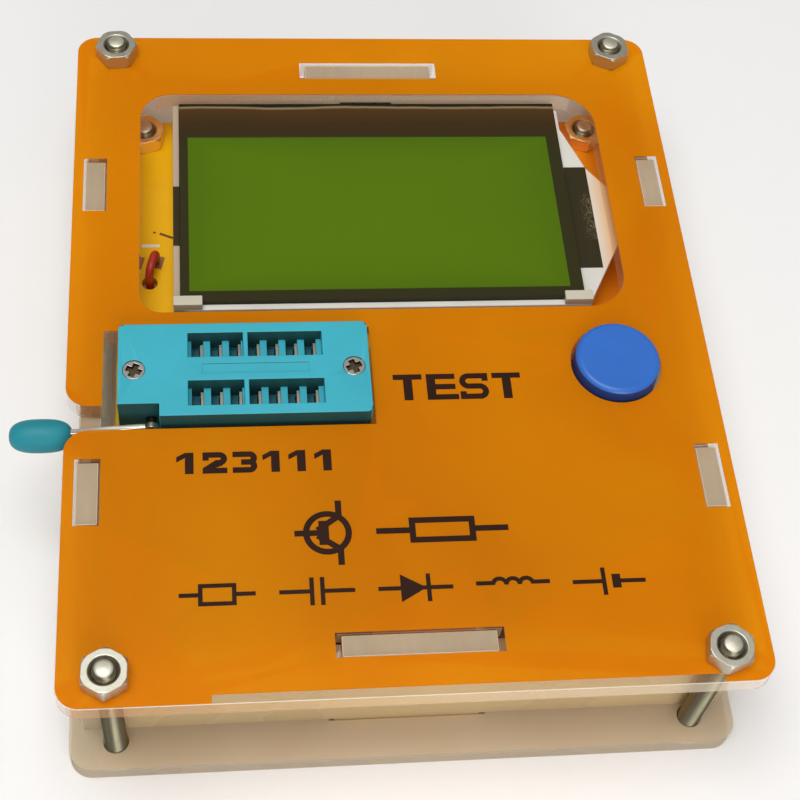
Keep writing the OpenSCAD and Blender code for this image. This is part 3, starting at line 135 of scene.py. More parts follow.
class Graph:
    """Small helper that builds one material's nodes."""

    def __init__(self, name):
        self.material = bpy.data.materials.new(name)
        self.material.use_nodes = True
        self.tree = self.material.node_tree
        self.shader = self.tree.nodes["Principled BSDF"]
        self.place = self.tree.nodes.new("ShaderNodeTexCoord").outputs["Object"]

    def link(self, source, target):
        self.tree.links.new(source, target)

    def feed(self, socket, value):
        """Sets a socket to a number or a colour, or links it to another node's output."""
        if isinstance(value, (int, float)):
            socket.default_value = value
        elif isinstance(value, tuple):
            socket.default_value = (*value, 1)
        else:
            self.link(value, socket)

    def stretched(self, scale):
        node = self.tree.nodes.new("ShaderNodeMapping")
        node.inputs["Scale"].default_value = scale
        self.link(self.place, node.inputs["Vector"])
        return node.outputs["Vector"]

    def noise(self, scale, detail=3.0, vector=None, distortion=0.0):
        node = self.tree.nodes.new("ShaderNodeTexNoise")
        node.inputs["Scale"].default_value = scale
        node.inputs["Detail"].default_value = detail
        node.inputs["Distortion"].default_value = distortion
        self.link(vector or self.place, node.inputs["Vector"])
        return node.outputs["Fac"]

    def ramp(self, value, stops):
        node = self.tree.nodes.new("ShaderNodeValToRGB")
        elements = node.color_ramp.elements
        while len(elements) < len(stops):
            elements.new(0.5)
        for element, (position, colour) in zip(elements, stops):
            element.position = position
            element.color = (*colour, 1)
        self.link(value, node.inputs["Fac"])
        return node.outputs["Color"]

    def span(self, value, from_low, from_high, to_low, to_high):
        node = self.tree.nodes.new("ShaderNodeMapRange")
        for socket, number in zip(node.inputs[1:5], (from_low, from_high, to_low, to_high)):
            socket.default_value = number
        self.link(value, node.inputs["Value"])
        return node.outputs["Result"]

    def math(self, operation, a, b=0.0):
        node = self.tree.nodes.new("ShaderNodeMath")
        node.operation = operation
        for socket, value in zip(node.inputs, (a, b)):
            self.feed(socket, value)
        return node.outputs["Value"]

    def mix(self, factor, a, b):
        node = self.tree.nodes.new("ShaderNodeMix")
        node.data_type = "RGBA"
        for socket, value in ((node.inputs["Factor"], factor), (node.inputs[6], a), (node.inputs[7], b)):
            self.feed(socket, value)
        return node.outputs[2]

    def axis(self, name):
        node = self.tree.nodes.new("ShaderNodeSeparateXYZ")
        self.link(self.place, node.inputs["Vector"])
        return node.outputs[name]

    def away(self, name, centre, reach):
        """Distance from a centre along one axis, as a share of its reach."""
        offset = self.math("SUBTRACT", self.axis(name), centre)
        return self.math("ABSOLUTE", self.math("DIVIDE", offset, reach))

    def tone(self, colour):
        self.link(colour, self.shader.inputs["Base Color"])

    def gloss(self, value, smooth, rough):
        """Roughness that follows a noise."""
        self.link(self.span(value, NOISE_LOW, NOISE_HIGH, smooth, rough), self.shader.inputs["Roughness"])

    def bump(self, height, strength, distance):
        node = self.tree.nodes.new("ShaderNodeBump")
        node.inputs["Strength"].default_value = strength
        node.inputs["Distance"].default_value = distance
        self.link(height, node.inputs["Height"])
        self.link(node.outputs["Normal"], self.shader.inputs["Normal"])

    def blend(self, kind, colour, share):
        """Mixes a share of another plain shader into whatever the surface shows so far."""
        other = self.tree.nodes.new(kind)
        other.inputs["Color"].default_value = (*colour, 1)
        mixer = self.tree.nodes.new("ShaderNodeMixShader")
        mixer.inputs["Fac"].default_value = share
        surface = self.tree.nodes["Material Output"].inputs["Surface"]
        self.link(surface.links[0].from_socket, mixer.inputs[1])
        self.link(other.outputs["BSDF"], mixer.inputs[2])
        self.link(mixer.outputs["Shader"], surface)

    def set(self, **values):
        for name, value in values.items():
            self.shader.inputs[SOCKETS[name]].default_value = value


def linear(red, green, blue):
    """Scene colour of an everyday 0-255 colour."""
    def one(value):
        value /= 255
        return value / 12.92 if value <= 0.04045 else ((value + 0.055) / 1.055) ** 2.4
    return (one(red), one(green), one(blue))


def scaled(colour, factor):
    return tuple(min(1.0, channel * factor) for channel in colour)


# ---------- materials ----------

# Noise scales are waves per metre, and bump depths are metres.
CLOUD = 140.0
GRAIN = 900.0
FINE_GRAIN = 1500.0
METAL_CLOUD = 400.0
TOOL_MARKS = 1800.0
LASER_RIPPLE = 1100.0
GRAIN_DEPTH = 0.05 * MM
SCRATCH_DEPTH = 0.03 * MM
MARK_DEPTH = 0.02 * MM
CREASE_DEPTH = 0.1 * MM
WAVE_DEPTH = 0.2 * MM
SOFT_REACH = 0.5 * MM
ACRYLIC_IOR = 1.49
GLASS_IOR = 1.5
HAZE = 0.05


def moulded(name, colour, rough=0.35, mottle=0.07, grain=GRAIN, bump=0.08, **values):
    """Moulded plastic: faint flow mottling, fine moulding grain and uneven gloss."""
    g = Graph(name)
    cloud = g.noise(CLOUD, 4.0)
    g.tone(g.ramp(cloud, [(NOISE_LOW, scaled(colour, 1 - mottle)), (NOISE_HIGH, scaled(colour, 1 + mottle))]))
    g.gloss(g.noise(grain, 2.0), rough * 0.85, rough * 1.15)
    g.bump(g.noise(grain * 2.5, 2.0), bump, GRAIN_DEPTH)
    g.set(**values)
    return g.material


def metal(name, colour, rough=0.25, streak=(1.0, 1.0, 1.0), wear=0.05, marking=0.02):
    """Plated metal: cloudy tarnish, fine tool marks along one direction."""
    g = Graph(name)
    cloud = g.noise(METAL_CLOUD, 2.0)
    g.tone(g.ramp(cloud, [(0.25, scaled(colour, 1 - wear)), (0.6, colour), (0.8, scaled(colour, 1.04))]))
    marks = g.noise(TOOL_MARKS, 2.0, g.stretched(streak))
    g.gloss(marks, rough * 0.85, rough * 1.2)
    g.bump(marks, marking, MARK_DEPTH)
    g.set(metallic=1.0)
    return g.material


FRAME_BROWNER_RIM = (1.2 * MM, 2.2 * MM)
FRAME_ORANGE_LIGHT_REACH = 0.4 * MM


def frame_plastic():
    """White display frame: browner towards its left rim, with painted orange light at the right where light
    through the film falls on it.
    """
    g = Graph("frame_plastic")
    left = low("lcd_frame").x
    right = high("lcd_frame").x
    orange_light_from = high("lcd_tab_tape").x - FRAME_ORANGE_LIGHT_REACH
    tone = g.ramp(g.noise(CLOUD, 4.0), [
        (NOISE_LOW, linear(226, 225, 216)),
        (NOISE_HIGH, linear(236, 235, 228)),
    ])
    # Browner towards the left rim.
    near_left_rim = g.span(g.axis("X"), left + FRAME_BROWNER_RIM[0], left + FRAME_BROWNER_RIM[1], 1.0, 0.0)
    browner_left = g.mix(near_left_rim, tone, linear(190, 172, 148))
    # Painted orange light: peach towards the right, for the light that passes through the film.
    g.tone(g.mix(g.span(g.axis("X"), orange_light_from, right, 0.0, 1.0), browner_left, linear(244, 196, 128)))
    g.gloss(g.noise(GRAIN, 2.0), 0.36, 0.46)
    g.bump(g.noise(FINE_GRAIN, 2.0), 0.06, GRAIN_DEPTH)
    g.set(subsurface=0.1, subsurface_scale=SOFT_REACH, specular=0.3)
    return g.material


FRONT_GLINT = (1 * MM, 3 * MM)


def painted_edge_glint(name, colour, strong, weak):
    """Painted highlight on a broken cut edge: a bright line, strong along the front of the case, faint
    elsewhere.
    """
    g = Graph(name)
    front = low("top_panel").y
    cloud = g.noise(300.0, 3.0)
    g.tone(g.ramp(cloud, [(NOISE_LOW, scaled(colour, 0.9)), (NOISE_HIGH, colour)]))
    g.gloss(cloud, 0.12, 0.2)
    faded = g.span(g.axis("Y"), front + FRONT_GLINT[0], front + FRONT_GLINT[1], strong, weak)
    g.link(faded, g.shader.inputs["Alpha"])
    g.set(ior=ACRYLIC_IOR)
    return g.material


def clear_sheet(name, colour, alpha, rough=0.12, glow=0.0):
    """Clear acrylic seen through its large faces: tint, light smears and fine scratches."""
    g = Graph(name)
    smear = g.noise(60.0, 5.0, distortion=0.6)
    g.tone(g.ramp(smear, [(0.3, scaled(colour, 1 - HAZE)), (0.75, scaled(colour, 1 + HAZE))]))
    g.link(g.span(smear, 0.35, 0.75, rough, rough * 2.2), g.shader.inputs["Roughness"])
    g.bump(g.noise(GRAIN, 2.0, g.stretched((1.0, 0.12, 1.0))), 0.04, SCRATCH_DEPTH)
    g.set(alpha=alpha, ior=ACRYLIC_IOR)
    if glow:
        g.blend("ShaderNodeBsdfTranslucent", colour, glow)
    return g.material


def front_edge(name, alpha):
    """Front cut edge of the top panel, with painted light: amber at the left for orange light through the
    film, paler to the right for a painted reflection.
    """
    g = Graph(name)
    ripple = g.noise(LASER_RIPPLE, 1.0, g.stretched((1.0, 1.0, 0.05)))
    across = g.span(g.axis("X"), low("top_panel").x, high("top_panel").x, 0.0, 1.0)
    # Painted light: amber at the left, a pale painted reflection towards the right.
    tone = g.ramp(across, [
        (0.1, linear(222, 150, 70)),
        (0.3, linear(238, 186, 118)),
        (0.5, linear(252, 218, 170)),
        (0.9, linear(255, 238, 210)),
    ])
    g.tone(g.mix(g.span(ripple, 0.4, 0.7, 0.0, 0.1), tone, linear(255, 248, 236)))
    g.gloss(ripple, 0.16, 0.26)
    g.set(alpha=alpha, ior=ACRYLIC_IOR)
    return g.material


def cut_edge(name, colour, alpha, along, rough=0.2):
    """Laser-cut edge of acrylic: smooth and glossy, with very faint ripples from the laser."""
    g = Graph(name)
    ripple = g.noise(LASER_RIPPLE, 1.0, g.stretched(along))
    tone = g.ramp(g.noise(90.0, 3.0), [(NOISE_LOW, scaled(colour, 0.93)), (NOISE_HIGH, scaled(colour, 1.05))])
    g.tone(g.mix(g.span(ripple, 0.4, 0.7, 0.0, 0.12), tone, scaled(colour, 1.3)))
    g.gloss(ripple, rough * 0.8, rough * 1.3)
    g.bump(ripple, 0.06, SCRATCH_DEPTH)
    g.set(alpha=alpha, ior=ACRYLIC_IOR)
    return g.material


FILM_GLOW = 0.34
FILM_CLEAR = 0.1
FILM_THROUGH = (0.95, 0.48, 0.02)


def film_material():
    """Orange translucent film: slow tone change, smears, and warm light passing through it."""
    g = Graph("orange_film")
    slow = g.noise(16.0, 3.0, distortion=0.8)
    smear = g.noise(48.0, 5.0, g.stretched((1.0, 0.55, 1.0)), 0.9)
    speck = g.noise(1900.0, 1.0)
    tone = g.ramp(slow, [(0.3, linear(232, 136, 1)), (0.5, linear(242, 149, 1)), (0.72, linear(250, 163, 2))])
    worn = g.mix(g.span(smear, 0.5, 0.75, 0.0, 0.25), tone, linear(222, 138, 6))
    dust = g.span(speck, 0.76, 0.82, 0.0, 0.15)
    g.tone(g.mix(dust, worn, linear(245, 170, 70)))
    g.gloss(g.noise(260.0, 4.0), 0.4, 0.5)
    g.bump(g.noise(60.0, 3.0), 0.05, WAVE_DEPTH)
    g.set(ior=1.45, specular=0.1)
    g.blend("ShaderNodeBsdfTranslucent", FILM_THROUGH, FILM_GLOW)
    g.blend("ShaderNodeBsdfTransparent", FILM_THROUGH, FILM_CLEAR)
    return g.material


SCREEN_DOTS = 128
DOT_GAP = 0.14


def screen_material():
    """Green display area: a painted glow, brighter towards its middle and darker towards the rim, and a faint
    grid of dots.
    """
    g = Graph("display_green")
    centre = middle("lcd_screen")
    half = (high("lcd_screen") - low("lcd_screen")) / 2
    away = g.math("MAXIMUM", g.away("X", centre.x, half.x), g.away("Y", centre.y, half.y))
    cloud = g.noise(28.0, 2.0)
    # Painted shade: darker towards the rim of the display area.
    rim = g.math("MULTIPLY", g.math("POWER", away, 3.0), 0.55)
    level = g.math("ADD", rim, g.math("MULTIPLY", cloud, 0.5))
    tone = g.ramp(level, [(0.1, linear(88, 120, 8)), (0.5, linear(84, 115, 8)), (0.95, linear(74, 103, 10))])
    dots = SCREEN_DOTS / (2 * half.x)
    gaps = [
        g.math("LESS_THAN", g.math("FRACT", g.math("MULTIPLY", g.axis(name), dots)), DOT_GAP)
        for name in ("X", "Y")
    ]
    grid = g.math("MULTIPLY", g.math("MAXIMUM", *gaps), 0.1)
    g.tone(g.mix(grid, tone, linear(110, 140, 40)))
    g.gloss(cloud, 0.22, 0.3)
    g.set(ior=GLASS_IOR, specular=0.12)
    return g.material


BROWN_DEPTH = 9 * MM


def border_material():
    """Dark display border, browner towards the rear, with a thin pale line and a dark line along its rear
    edge.
    """
    g = Graph("display_border")
    rear = high("lcd_mask").y
    depth = g.span(g.axis("Y"), rear - BROWN_DEPTH, rear, 0.0, 1.0)
    soft = g.math("ADD", depth, g.math("MULTIPLY", g.noise(90.0, 3.0), 0.12))
    g.tone(g.ramp(soft, [
        (0.0, linear(52, 50, 27)),
        (0.25, linear(54, 47, 25)),
        (0.6, linear(62, 46, 22)),
        (0.93, linear(80, 54, 26)),
        (0.97, linear(150, 134, 96)),
        (1.0, linear(34, 30, 20)),
    ]))
    g.gloss(g.noise(300.0, 3.0), 0.12, 0.24)
    g.set(ior=GLASS_IOR, specular=0.12)
    return g.material


BOARD_ORANGE_LIGHT_SPAN = (18 * MM, 26 * MM)


def board_material():
    """Yellow solder resist over woven glass, with painted orange light towards the right where only light
    through the film reaches it, and a slow stain.
    """
    g = Graph("board_yellow")
    weave = g.noise(FINE_GRAIN, 2.0)
    stain = g.noise(110.0, 3.0)
    woven = g.span(weave, NOISE_LOW, NOISE_HIGH, 0.0, 0.25)
    base = g.mix(woven, linear(255, 200, 12), linear(252, 188, 10))
    # Painted light: orange towards the right, for the film-filtered light there.
    warm = g.mix(g.span(g.axis("X"), *BOARD_ORANGE_LIGHT_SPAN, 0.0, 1.0), base, linear(240, 140, 16))
    g.tone(g.mix(g.span(stain, 0.5, 0.8, 0.0, 0.2), warm, linear(240, 158, 12)))
    g.gloss(stain, 0.3, 0.42)
    g.bump(weave, 0.1, SCRATCH_DEPTH)
    g.set(specular=0.3)
    return g.material


def tape_material():
    """Black tape: creased, with pale scuffs across it."""
    g = Graph("black_tape")
    crease = g.noise(700.0, 5.0, g.stretched((1.0, 0.35, 1.0)), 1.2)
    scuff = g.noise(FINE_GRAIN, 3.0, g.stretched((1.0, 0.6, 1.0)), 3.0)
    centre = middle("lcd_tab_tape")
    end = high("lcd_tab_tape")
    near = g.span(g.away("Y", centre.y, end.y - centre.y), 0.3, 0.5, 1.0, 0.0)
    outer = g.span(g.axis("X"), centre.x, end.x, 0.0, 1.0)
    patch = g.math("MULTIPLY", g.math("MULTIPLY", near, outer), 0.5)
    mark = g.math("MULTIPLY", g.span(scuff, 0.5, 0.62, 0.0, 1.0), patch)
    g.tone(g.mix(mark, linear(50, 43, 20), linear(186, 172, 136)))
    g.gloss(crease, 0.4, 0.6)
    g.bump(crease, 0.4, CREASE_DEPTH)
    g.set(specular=0.25)
    return g.material


BAND_WIDTH = 13 * MM


def battery_material():
    """Battery jacket: dark body with a plain gold band at the terminal end."""
    g = Graph("battery_jacket")
    band = g.math("GREATER_THAN", g.axis("X"), high("battery_body").x - BAND_WIDTH)
    rub = g.noise(500.0, 5.0)
    tone = g.mix(band, linear(38, 38, 42), linear(190, 130, 50))
    g.tone(g.mix(g.span(rub, 0.6, 0.8, 0.0, 0.4), tone, linear(150, 148, 140)))
    g.gloss(rub, 0.25, 0.45)
    g.set(metallic=0.6)
    return g.material


FLOOR_DARK = 0.97
FLOOR_PALE = 0.98


def floor_material():
    """Pale matt paper."""
    g = Graph("pale_floor")
    g.tone(g.ramp(g.noise(9.0, 3.0), [(NOISE_LOW, (FLOOR_DARK,) * 3), (NOISE_HIGH, (FLOOR_PALE,) * 3)]))
    g.gloss(g.noise(300.0, 2.0), 0.6, 0.8)
    return g.material


# ---------- meshes ----------

WELD = 0.002 * MM
FLAT_ANGLE = math.radians(1)
CREASE = math.radians(35)


def welded(node, flatten=True):
    """The node's mesh with shared corners and, if asked, flat faces joined up."""
    mesh = bmesh.new()
    mesh.from_mesh(NODES[node].data)
    bmesh.ops.remove_doubles(mesh, verts=mesh.verts, dist=WELD)
    if flatten:
        bmesh.ops.dissolve_limit(mesh, angle_limit=FLAT_ANGLE, verts=mesh.verts, edges=mesh.edges)
    return mesh


def islands(node):
    """Lowest and highest corner of each separate solid of a node."""
    mesh = welded(node, flatten=False)
    seen = set()
    boxes = []
    for start in mesh.verts:
        if start in seen:
            continue
        group = [start]
        seen.add(start)
        for vert in group:
            for edge in vert.link_edges:
                other = edge.other_vert(vert)
                if other not in seen:
                    seen.add(other)
                    group.append(other)
        spans = [[vert.co[axis] for vert in group] for axis in range(3)]
        boxes.append((Vector([min(s) for s in spans]), Vector([max(s) for s in spans])))
    mesh.free()
    return boxes


def add_piece(name, mesh, node, materials, replace=True):
    """Turns a bmesh into a piece that rides with a CAD node and, if asked, stands for it."""
    data = bpy.data.meshes.new(name)
    mesh.to_mesh(data)
    mesh.free()
    for polygon in data.polygons:
        polygon.use_smooth = True
    data.set_sharp_from_angle(angle=CREASE)
    for material in materials:
        data.materials.append(material)
    piece = bpy.data.objects.new(name, data)
    bpy.context.collection.objects.link(piece)
    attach(piece, BODY_OF[node])
    if replace:
        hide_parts(node)
    return piece


def bevelled(node, material, width=0.12 * MM, segments=2, flatten=True):
    """Stands for a CAD node with the same shape and its sharp edges broken."""
    piece = add_piece(node + ".look", welded(node, flatten), node, [material])
    bevel = piece.modifiers.new("edges", "BEVEL")
    bevel.width = width
    bevel.segments = segments
    bevel.limit_method = "ANGLE"
    bevel.angle_limit = CREASE
    bevel.use_clamp_overlap = False
    bevel.harden_normals = flatten
    if not flatten:
        even = piece.modifiers.new("even_shading", "WEIGHTED_NORMAL")
        even.weight = 100
        even.keep_sharp = True
    return piece


PANEL_BEVEL = 0.1 * MM
CUT_SLOT = 1
SIDE_SLOT = 2
GLINT_SLOT = 3


def sheet_panel(node, face, edge, side_edge, glint):
    """A bevelled acrylic panel: one material on its large faces, others on its cut edges, and a painted glint
    on its broken edges.
    """
    size = high(node) - low(node)
    thin = min(range(3), key=lambda axis: size[axis])
    piece = bevelled(node, face, PANEL_BEVEL, 1)
    for material in (edge, side_edge, glint):
        piece.data.materials.append(material)
    # The bevel faces carry the painted glint.
    piece.modifiers["edges"].material = GLINT_SLOT
    for polygon in piece.data.polygons:
        if abs(polygon.normal[thin]) < 0.5:
            polygon.material_index = SIDE_SLOT if abs(polygon.normal.x) > 0.5 else CUT_SLOT


def paint(node, material):
    """Gives a CAD node its material."""
    data = NODES[node].data
    data.materials.clear()
    data.materials.append(material)


SHANK_RADIUS = 1.5 * MM
THREAD_PITCH = 0.5 * MM
THREAD_DEPTH = 0.28 * MM
THREAD_SHARPNESS = 1.25
THREAD_AROUND = 24
THREAD_PER_TURN = 8
THREAD_START = 2.2 * MM
THREAD_SUNK = 0.1 * MM
TIP_CONE = 0.3 * MM
TIP_DOME = 0.18 * MM
TIP_RADIUS = 1.15 * MM
TIP_LEAST = 0.2
CROWN = 0.02 * MM


def tip_radius(radius, past):
    """Radius of a rod end at a distance past the start of its cone."""
    if past <= TIP_CONE:
        return radius - (radius - TIP_RADIUS) * max(0.0, past) / TIP_CONE
    share = min(1.0, (past - TIP_CONE) / TIP_DOME)
    return TIP_RADIUS * max(TIP_LEAST, math.sqrt(1 - share * share))


def threaded_rod(mesh, foot, length, radius):
    """Adds an upright rod with a helical thread and a domed end to a bmesh."""
    rows = int(length / THREAD_PITCH * THREAD_PER_TURN)
    rings = []
    for row in range(rows + 1):
        z = length * row / rows
        end = tip_radius(radius, z - (length - TIP_CONE - TIP_DOME))
        ring = []
        for step in range(THREAD_AROUND):
            angle = 2 * math.pi * step / THREAD_AROUND
            phase = (z / THREAD_PITCH - step / THREAD_AROUND) % 1.0
            crest = 1 - min(1.0, abs(phase - 0.5) * 2 * THREAD_SHARPNESS)
            reach = min(radius - THREAD_DEPTH * (1 - crest), end)
            ring.append(mesh.verts.new((
                foot.x + reach * math.cos(angle),
                foot.y + reach * math.sin(angle),
                foot.z + z,
            )))
        rings.append(ring)
    tip_row = int(rows * (length - TIP_DOME) / length)
    for row, (lower, upper) in enumerate(zip(rings, rings[1:])):
        for step in range(THREAD_AROUND):
            after = (step + 1) % THREAD_AROUND
            face = mesh.faces.new((lower[step], lower[after], upper[after], upper[step]))
            face.material_index = int(row >= tip_row)
    mesh.faces.new(list(reversed(rings[0])))
    crown = mesh.verts.new((foot.x, foot.y, foot.z + length + CROWN))
    for step in range(THREAD_AROUND):
        after = (step + 1) % THREAD_AROUND
        mesh.faces.new((rings[-1][step], rings[-1][after], crown)).material_index = 1


def threaded_screws(node, material, tip):
    """Stands for a row of screws: CAD heads, real threads above them."""
    thread_from = low(node).z + THREAD_START
    mesh = welded(node)
    bmesh.ops.bisect_plane(
        mesh, geom=mesh.verts[:] + mesh.edges[:] + mesh.faces[:],
        plane_co=(0, 0, thread_from), plane_no=(0, 0, 1), clear_outer=True,
    )
    for corner_low, corner_high in islands(node):
        centre = (corner_low + corner_high) / 2
        foot = Vector((centre.x, centre.y, thread_from - THREAD_SUNK))
        length = corner_high.z - foot.z - CROWN
        threaded_rod(mesh, foot, length, SHANK_RADIUS)
    add_piece(node + ".look", mesh, node, [material, tip])


def smooth_lead(node, material):
    """Stands for a swept lead with a rounder tube."""
    piece = add_piece(node + ".look", welded(node), node, [material])
    for edge in piece.data.edges:
        edge.use_edge_sharp = False
    round_off = piece.modifiers.new("round", "SUBSURF")
    round_off.levels = 2
    round_off.render_levels = 2


STRIP_HEIGHT = 0.03 * MM


def strip(mesh, start, end, width, z):
    """A flat raised line between two points, in plan."""
    a, b = Vector(start), Vector(end)
    along = (b - a).normalized()
    side = Vector((-along.y, along.x)) * width / 2
    a, b = a - along * width / 2, b + along * width / 2
    plan = [a + side, a - side, b - side, b + side]
    lower = [mesh.verts.new((p.x, p.y, z)) for p in plan]
    upper = [mesh.verts.new((p.x, p.y, z + STRIP_HEIGHT)) for p in plan]
    mesh.faces.new(upper)
    mesh.faces.new(list(reversed(lower)))
    for i in range(4):
        j = (i + 1) % 4
        mesh.faces.new((lower[i], lower[j], upper[j], upper[i]))


# ---------- the object ----------

UPRIGHT = (1.0, 1.0, 0.05)
LEVEL = (1.0, 0.2, 1.0)
LEGEND_GRAIN = 1500.0


def dress_case(bore_shaded_steel, tip):
    glint = painted_edge_glint("acrylic_glint", linear(255, 244, 224), 0.75, 0.06)
    face = clear_sheet("acrylic_face", linear(225, 200, 165), 0.12)
    edge = front_edge("acrylic_edge_painted_light", 0.36)
    side_edge = cut_edge("acrylic_side_edge", linear(200, 150, 80), 0.04, UPRIGHT, 0.1)
    sheet_panel("top_panel", face, edge, side_edge, glint)
    bottom_face = clear_sheet("acrylic_bottom_face", linear(255, 234, 202), 0.6, 0.3, glow=0.3)
    bottom_edge = clear_sheet("acrylic_bottom_edge", linear(236, 222, 198), 0.5, 0.25, glow=0.3)
    faint = painted_edge_glint("acrylic_faint_glint", linear(240, 230, 210), 0.4, 0.3)
    sheet_panel("bottom_panel", bottom_face, bottom_edge, bottom_edge, faint)
    wall_face = clear_sheet("acrylic_wall_face", linear(252, 248, 236), 0.62, 0.2, glow=0.25)
    # Painted orange light: the front wall is warmer than the other walls, for light coming through the film
    # above it.
    orange_lit_front = clear_sheet("acrylic_orange_lit_front", linear(255, 228, 178), 0.74, 0.2, glow=0.3)
    wall_edge = cut_edge("acrylic_wall_edge", linear(183, 163, 135), 0.95, LEVEL)
    # Painted highlight: a bright line on the walls' broken edges.
    wall_glint = cut_edge("acrylic_wall_glint", linear(236, 220, 190), 0.9, UPRIGHT)
    for node in ("left_wall", "right_wall", "front_wall", "rear_wall"):
        wall = orange_lit_front if node == "front_wall" else wall_face
        sheet_panel(node, wall, wall_edge, wall_edge, wall_glint)
    paint("face_film", film_material())
    ink = moulded("legend_ink", linear(44, 20, 8), 0.5, 0.2, LEGEND_GRAIN, 0.1, specular=0.15)
    paint("legend_print", ink)
    threaded_screws("case_screws", bore_shaded_steel, tip)
    plating = metal("nut_plating", linear(200, 196, 180), 0.42, (1.0, 1.0, 0.1), 0.03, 0.01)
    bevelled("case_nuts", plating, 0.1 * MM)


# White marks on the board: start, end and line width, right of its left edge and behind the pads.
MARK_AT = (4.6 * MM, 3.0 * MM)
MARKS = (
    ((-0.9 * MM, 0), (0.3 * MM, 0), 0.6 * MM),
    ((0.9 * MM, 0), (1.2 * MM, 0), 0.5 * MM),
)
# Copper tracks that show through the board's yellow, placed the same way.
TRACK_AT = (5.2 * MM, 5.2 * MM)
TRACKS = (
    ((0, 0.3 * MM), (0.1 * MM, 0.3 * MM), 0.3 * MM),
    ((1.0 * MM, 0), (2.6 * MM, -0.7 * MM), 0.4 * MM),
)


def board_lines(name, at, lines, material):
    """Raised lines that ride on the board."""
    z = high("circuit_board").z
    origin = Vector((low("circuit_board").x + at[0], middle("lead_pads").y + at[1]))
    mesh = bmesh.new()
    for start, end, width in lines:
        strip(mesh, origin + Vector(start), origin + Vector(end), width, z)
    add_piece(name, mesh, "circuit_board", [material], replace=False)


def dress_board(bore_shaded_steel, tip):
    bevelled("circuit_board", board_material(), 0.08 * MM, 1)
    paint("lead_pads", metal("pad_tinning", linear(176, 128, 84), 0.5))
    nylon = moulded("nylon", linear(226, 222, 208), 0.45, 0.04, subsurface=0.2, subsurface_scale=SOFT_REACH)
    bevelled("board_spacers", nylon)
    threaded_screws("board_screws", bore_shaded_steel, tip)
    # Painted orange light: the board nuts are tinted gold for the light that reaches them through the film.
    bevelled("board_nuts", metal("board_nut_painted_orange_light", linear(255, 226, 160), 0.45), 0.08 * MM)
    board_lines("board_marks", MARK_AT, MARKS, moulded("silk_white", linear(238, 232, 214), 0.5, 0.08))
    board_lines("board_tracks", TRACK_AT, TRACKS, moulded("track_brown", linear(112, 66, 22), 0.5))


def dress_display(tape):
    bevelled("lcd_frame", frame_plastic(), 0.15 * MM)
    clip = moulded(
        "clip_plastic", linear(206, 198, 178), 0.35, 0.06,
        subsurface=0.2, subsurface_scale=SOFT_REACH,
    )
    bevelled("lcd_clips", clip)
    paint("lcd_glass", moulded("display_glass", linear(62, 66, 52), 0.12, 0.05, ior=1.52))
    bevelled("lcd_mask", border_material(), 0.06 * MM, 1)
    paint("lcd_screen", screen_material())
    paint("lcd_side_tape", tape)
    paint("lcd_tab_tape", tape)
    bevelled("lcd_ribbon", moulded("ribbon", linear(30, 26, 22), 0.3), 0.03 * MM, 1)


COVER_GRAIN = 700.0
KNOB_GRAIN = 600.0
CAP_GRAIN = 800.0
FRONT_FACING = -0.7
RECESS_FROM = 0.8 * MM
RECESS_TO = 0.04 * MM
RECESS_REACH = 1.2 * MM
WALL_SLOPE = 0.35


def dress_cover(teal):
    """The socket's cover, with painted shade on its front face, which turns away from the light."""
    # Painted shade for the faces that look forward.
    side = moulded("teal_painted_front_shade", linear(38, 84, 84), 0.5, 0.06, COVER_GRAIN, 0.08, specular=0.2)
    cover = bevelled("socket_cover", teal, 0.1 * MM, flatten=False)
    cover.data.materials.append(side)
    for polygon in cover.data.polygons:
        polygon.material_index = int(polygon.normal.y < FRONT_FACING)


def dress_socket_screws(bright):
    """The socket's screws, with dark cross recesses."""
    screws = bevelled("socket_screws", bright, 0.06 * MM)
    screws.data.materials.append(metal("recess_shadow", linear(96, 84, 66), 0.5))
    top = high("socket_screws").z
    middles = [(corner_low + corner_high) / 2 for corner_low, corner_high in islands("socket_screws")]
    for polygon in screws.data.polygons:
        near = min((Vector(polygon.center) - Vector((m.x, m.y, polygon.center.z))).length for m in middles)
        if top - RECESS_FROM < polygon.center.z < top - RECESS_TO and near < RECESS_REACH:
            polygon.material_index = 1


def dress_socket(bright):
    teal = moulded("teal_plastic", linear(60, 176, 195), 0.4, 0.05, COVER_GRAIN, 0.08, specular=0.35)
    # Painted shade: the slider sits in the cover's recesses and is darkened for their shade.
    recess_shade = moulded("teal_painted_recess_shade", linear(24, 92, 106), 0.5, 0.08, COVER_GRAIN, 0.08)
    dress_cover(teal)
    bevelled("socket_base", teal, 0.08 * MM, 1)
    paint("socket_slider", recess_shade)
    contacts = metal("contact_plating", linear(176, 172, 156), 0.45, (0.3, 1.0, 1.0), 0.03, 0.0)
    paint("socket_contacts", contacts)
    dress_socket_screws(bright)
    bevelled("lever_arm", metal("lever_plating", linear(206, 200, 184), 0.3, (0.1, 1.0, 1.0)), 0.1 * MM)
    bevelled("lever_crank", metal("crank_steel", linear(52, 50, 44), 0.5), 0.05 * MM)
    knob = moulded("knob_plastic", linear(36, 140, 155), 0.5, 0.05, KNOB_GRAIN, 0.06, specular=0.3)
    paint("lever_knob", knob)


def dress_cap():
    """The button's cap, with painted shade on its upright side."""
    paint("button_cap", moulded("cap_plastic", linear(44, 108, 200), 0.34, 0.05, CAP_GRAIN, 0.1))
    # Painted shade on the cap's upright side.
    side = moulded("cap_painted_side_shade", linear(30, 62, 128), 0.45, 0.05, CAP_GRAIN, 0.1, specular=0.2)
    cap = NODES["button_cap"].data
    cap.materials.append(side)
    for polygon in cap.polygons:
        polygon.material_index = int(abs(polygon.normal.z) < WALL_SLOPE)


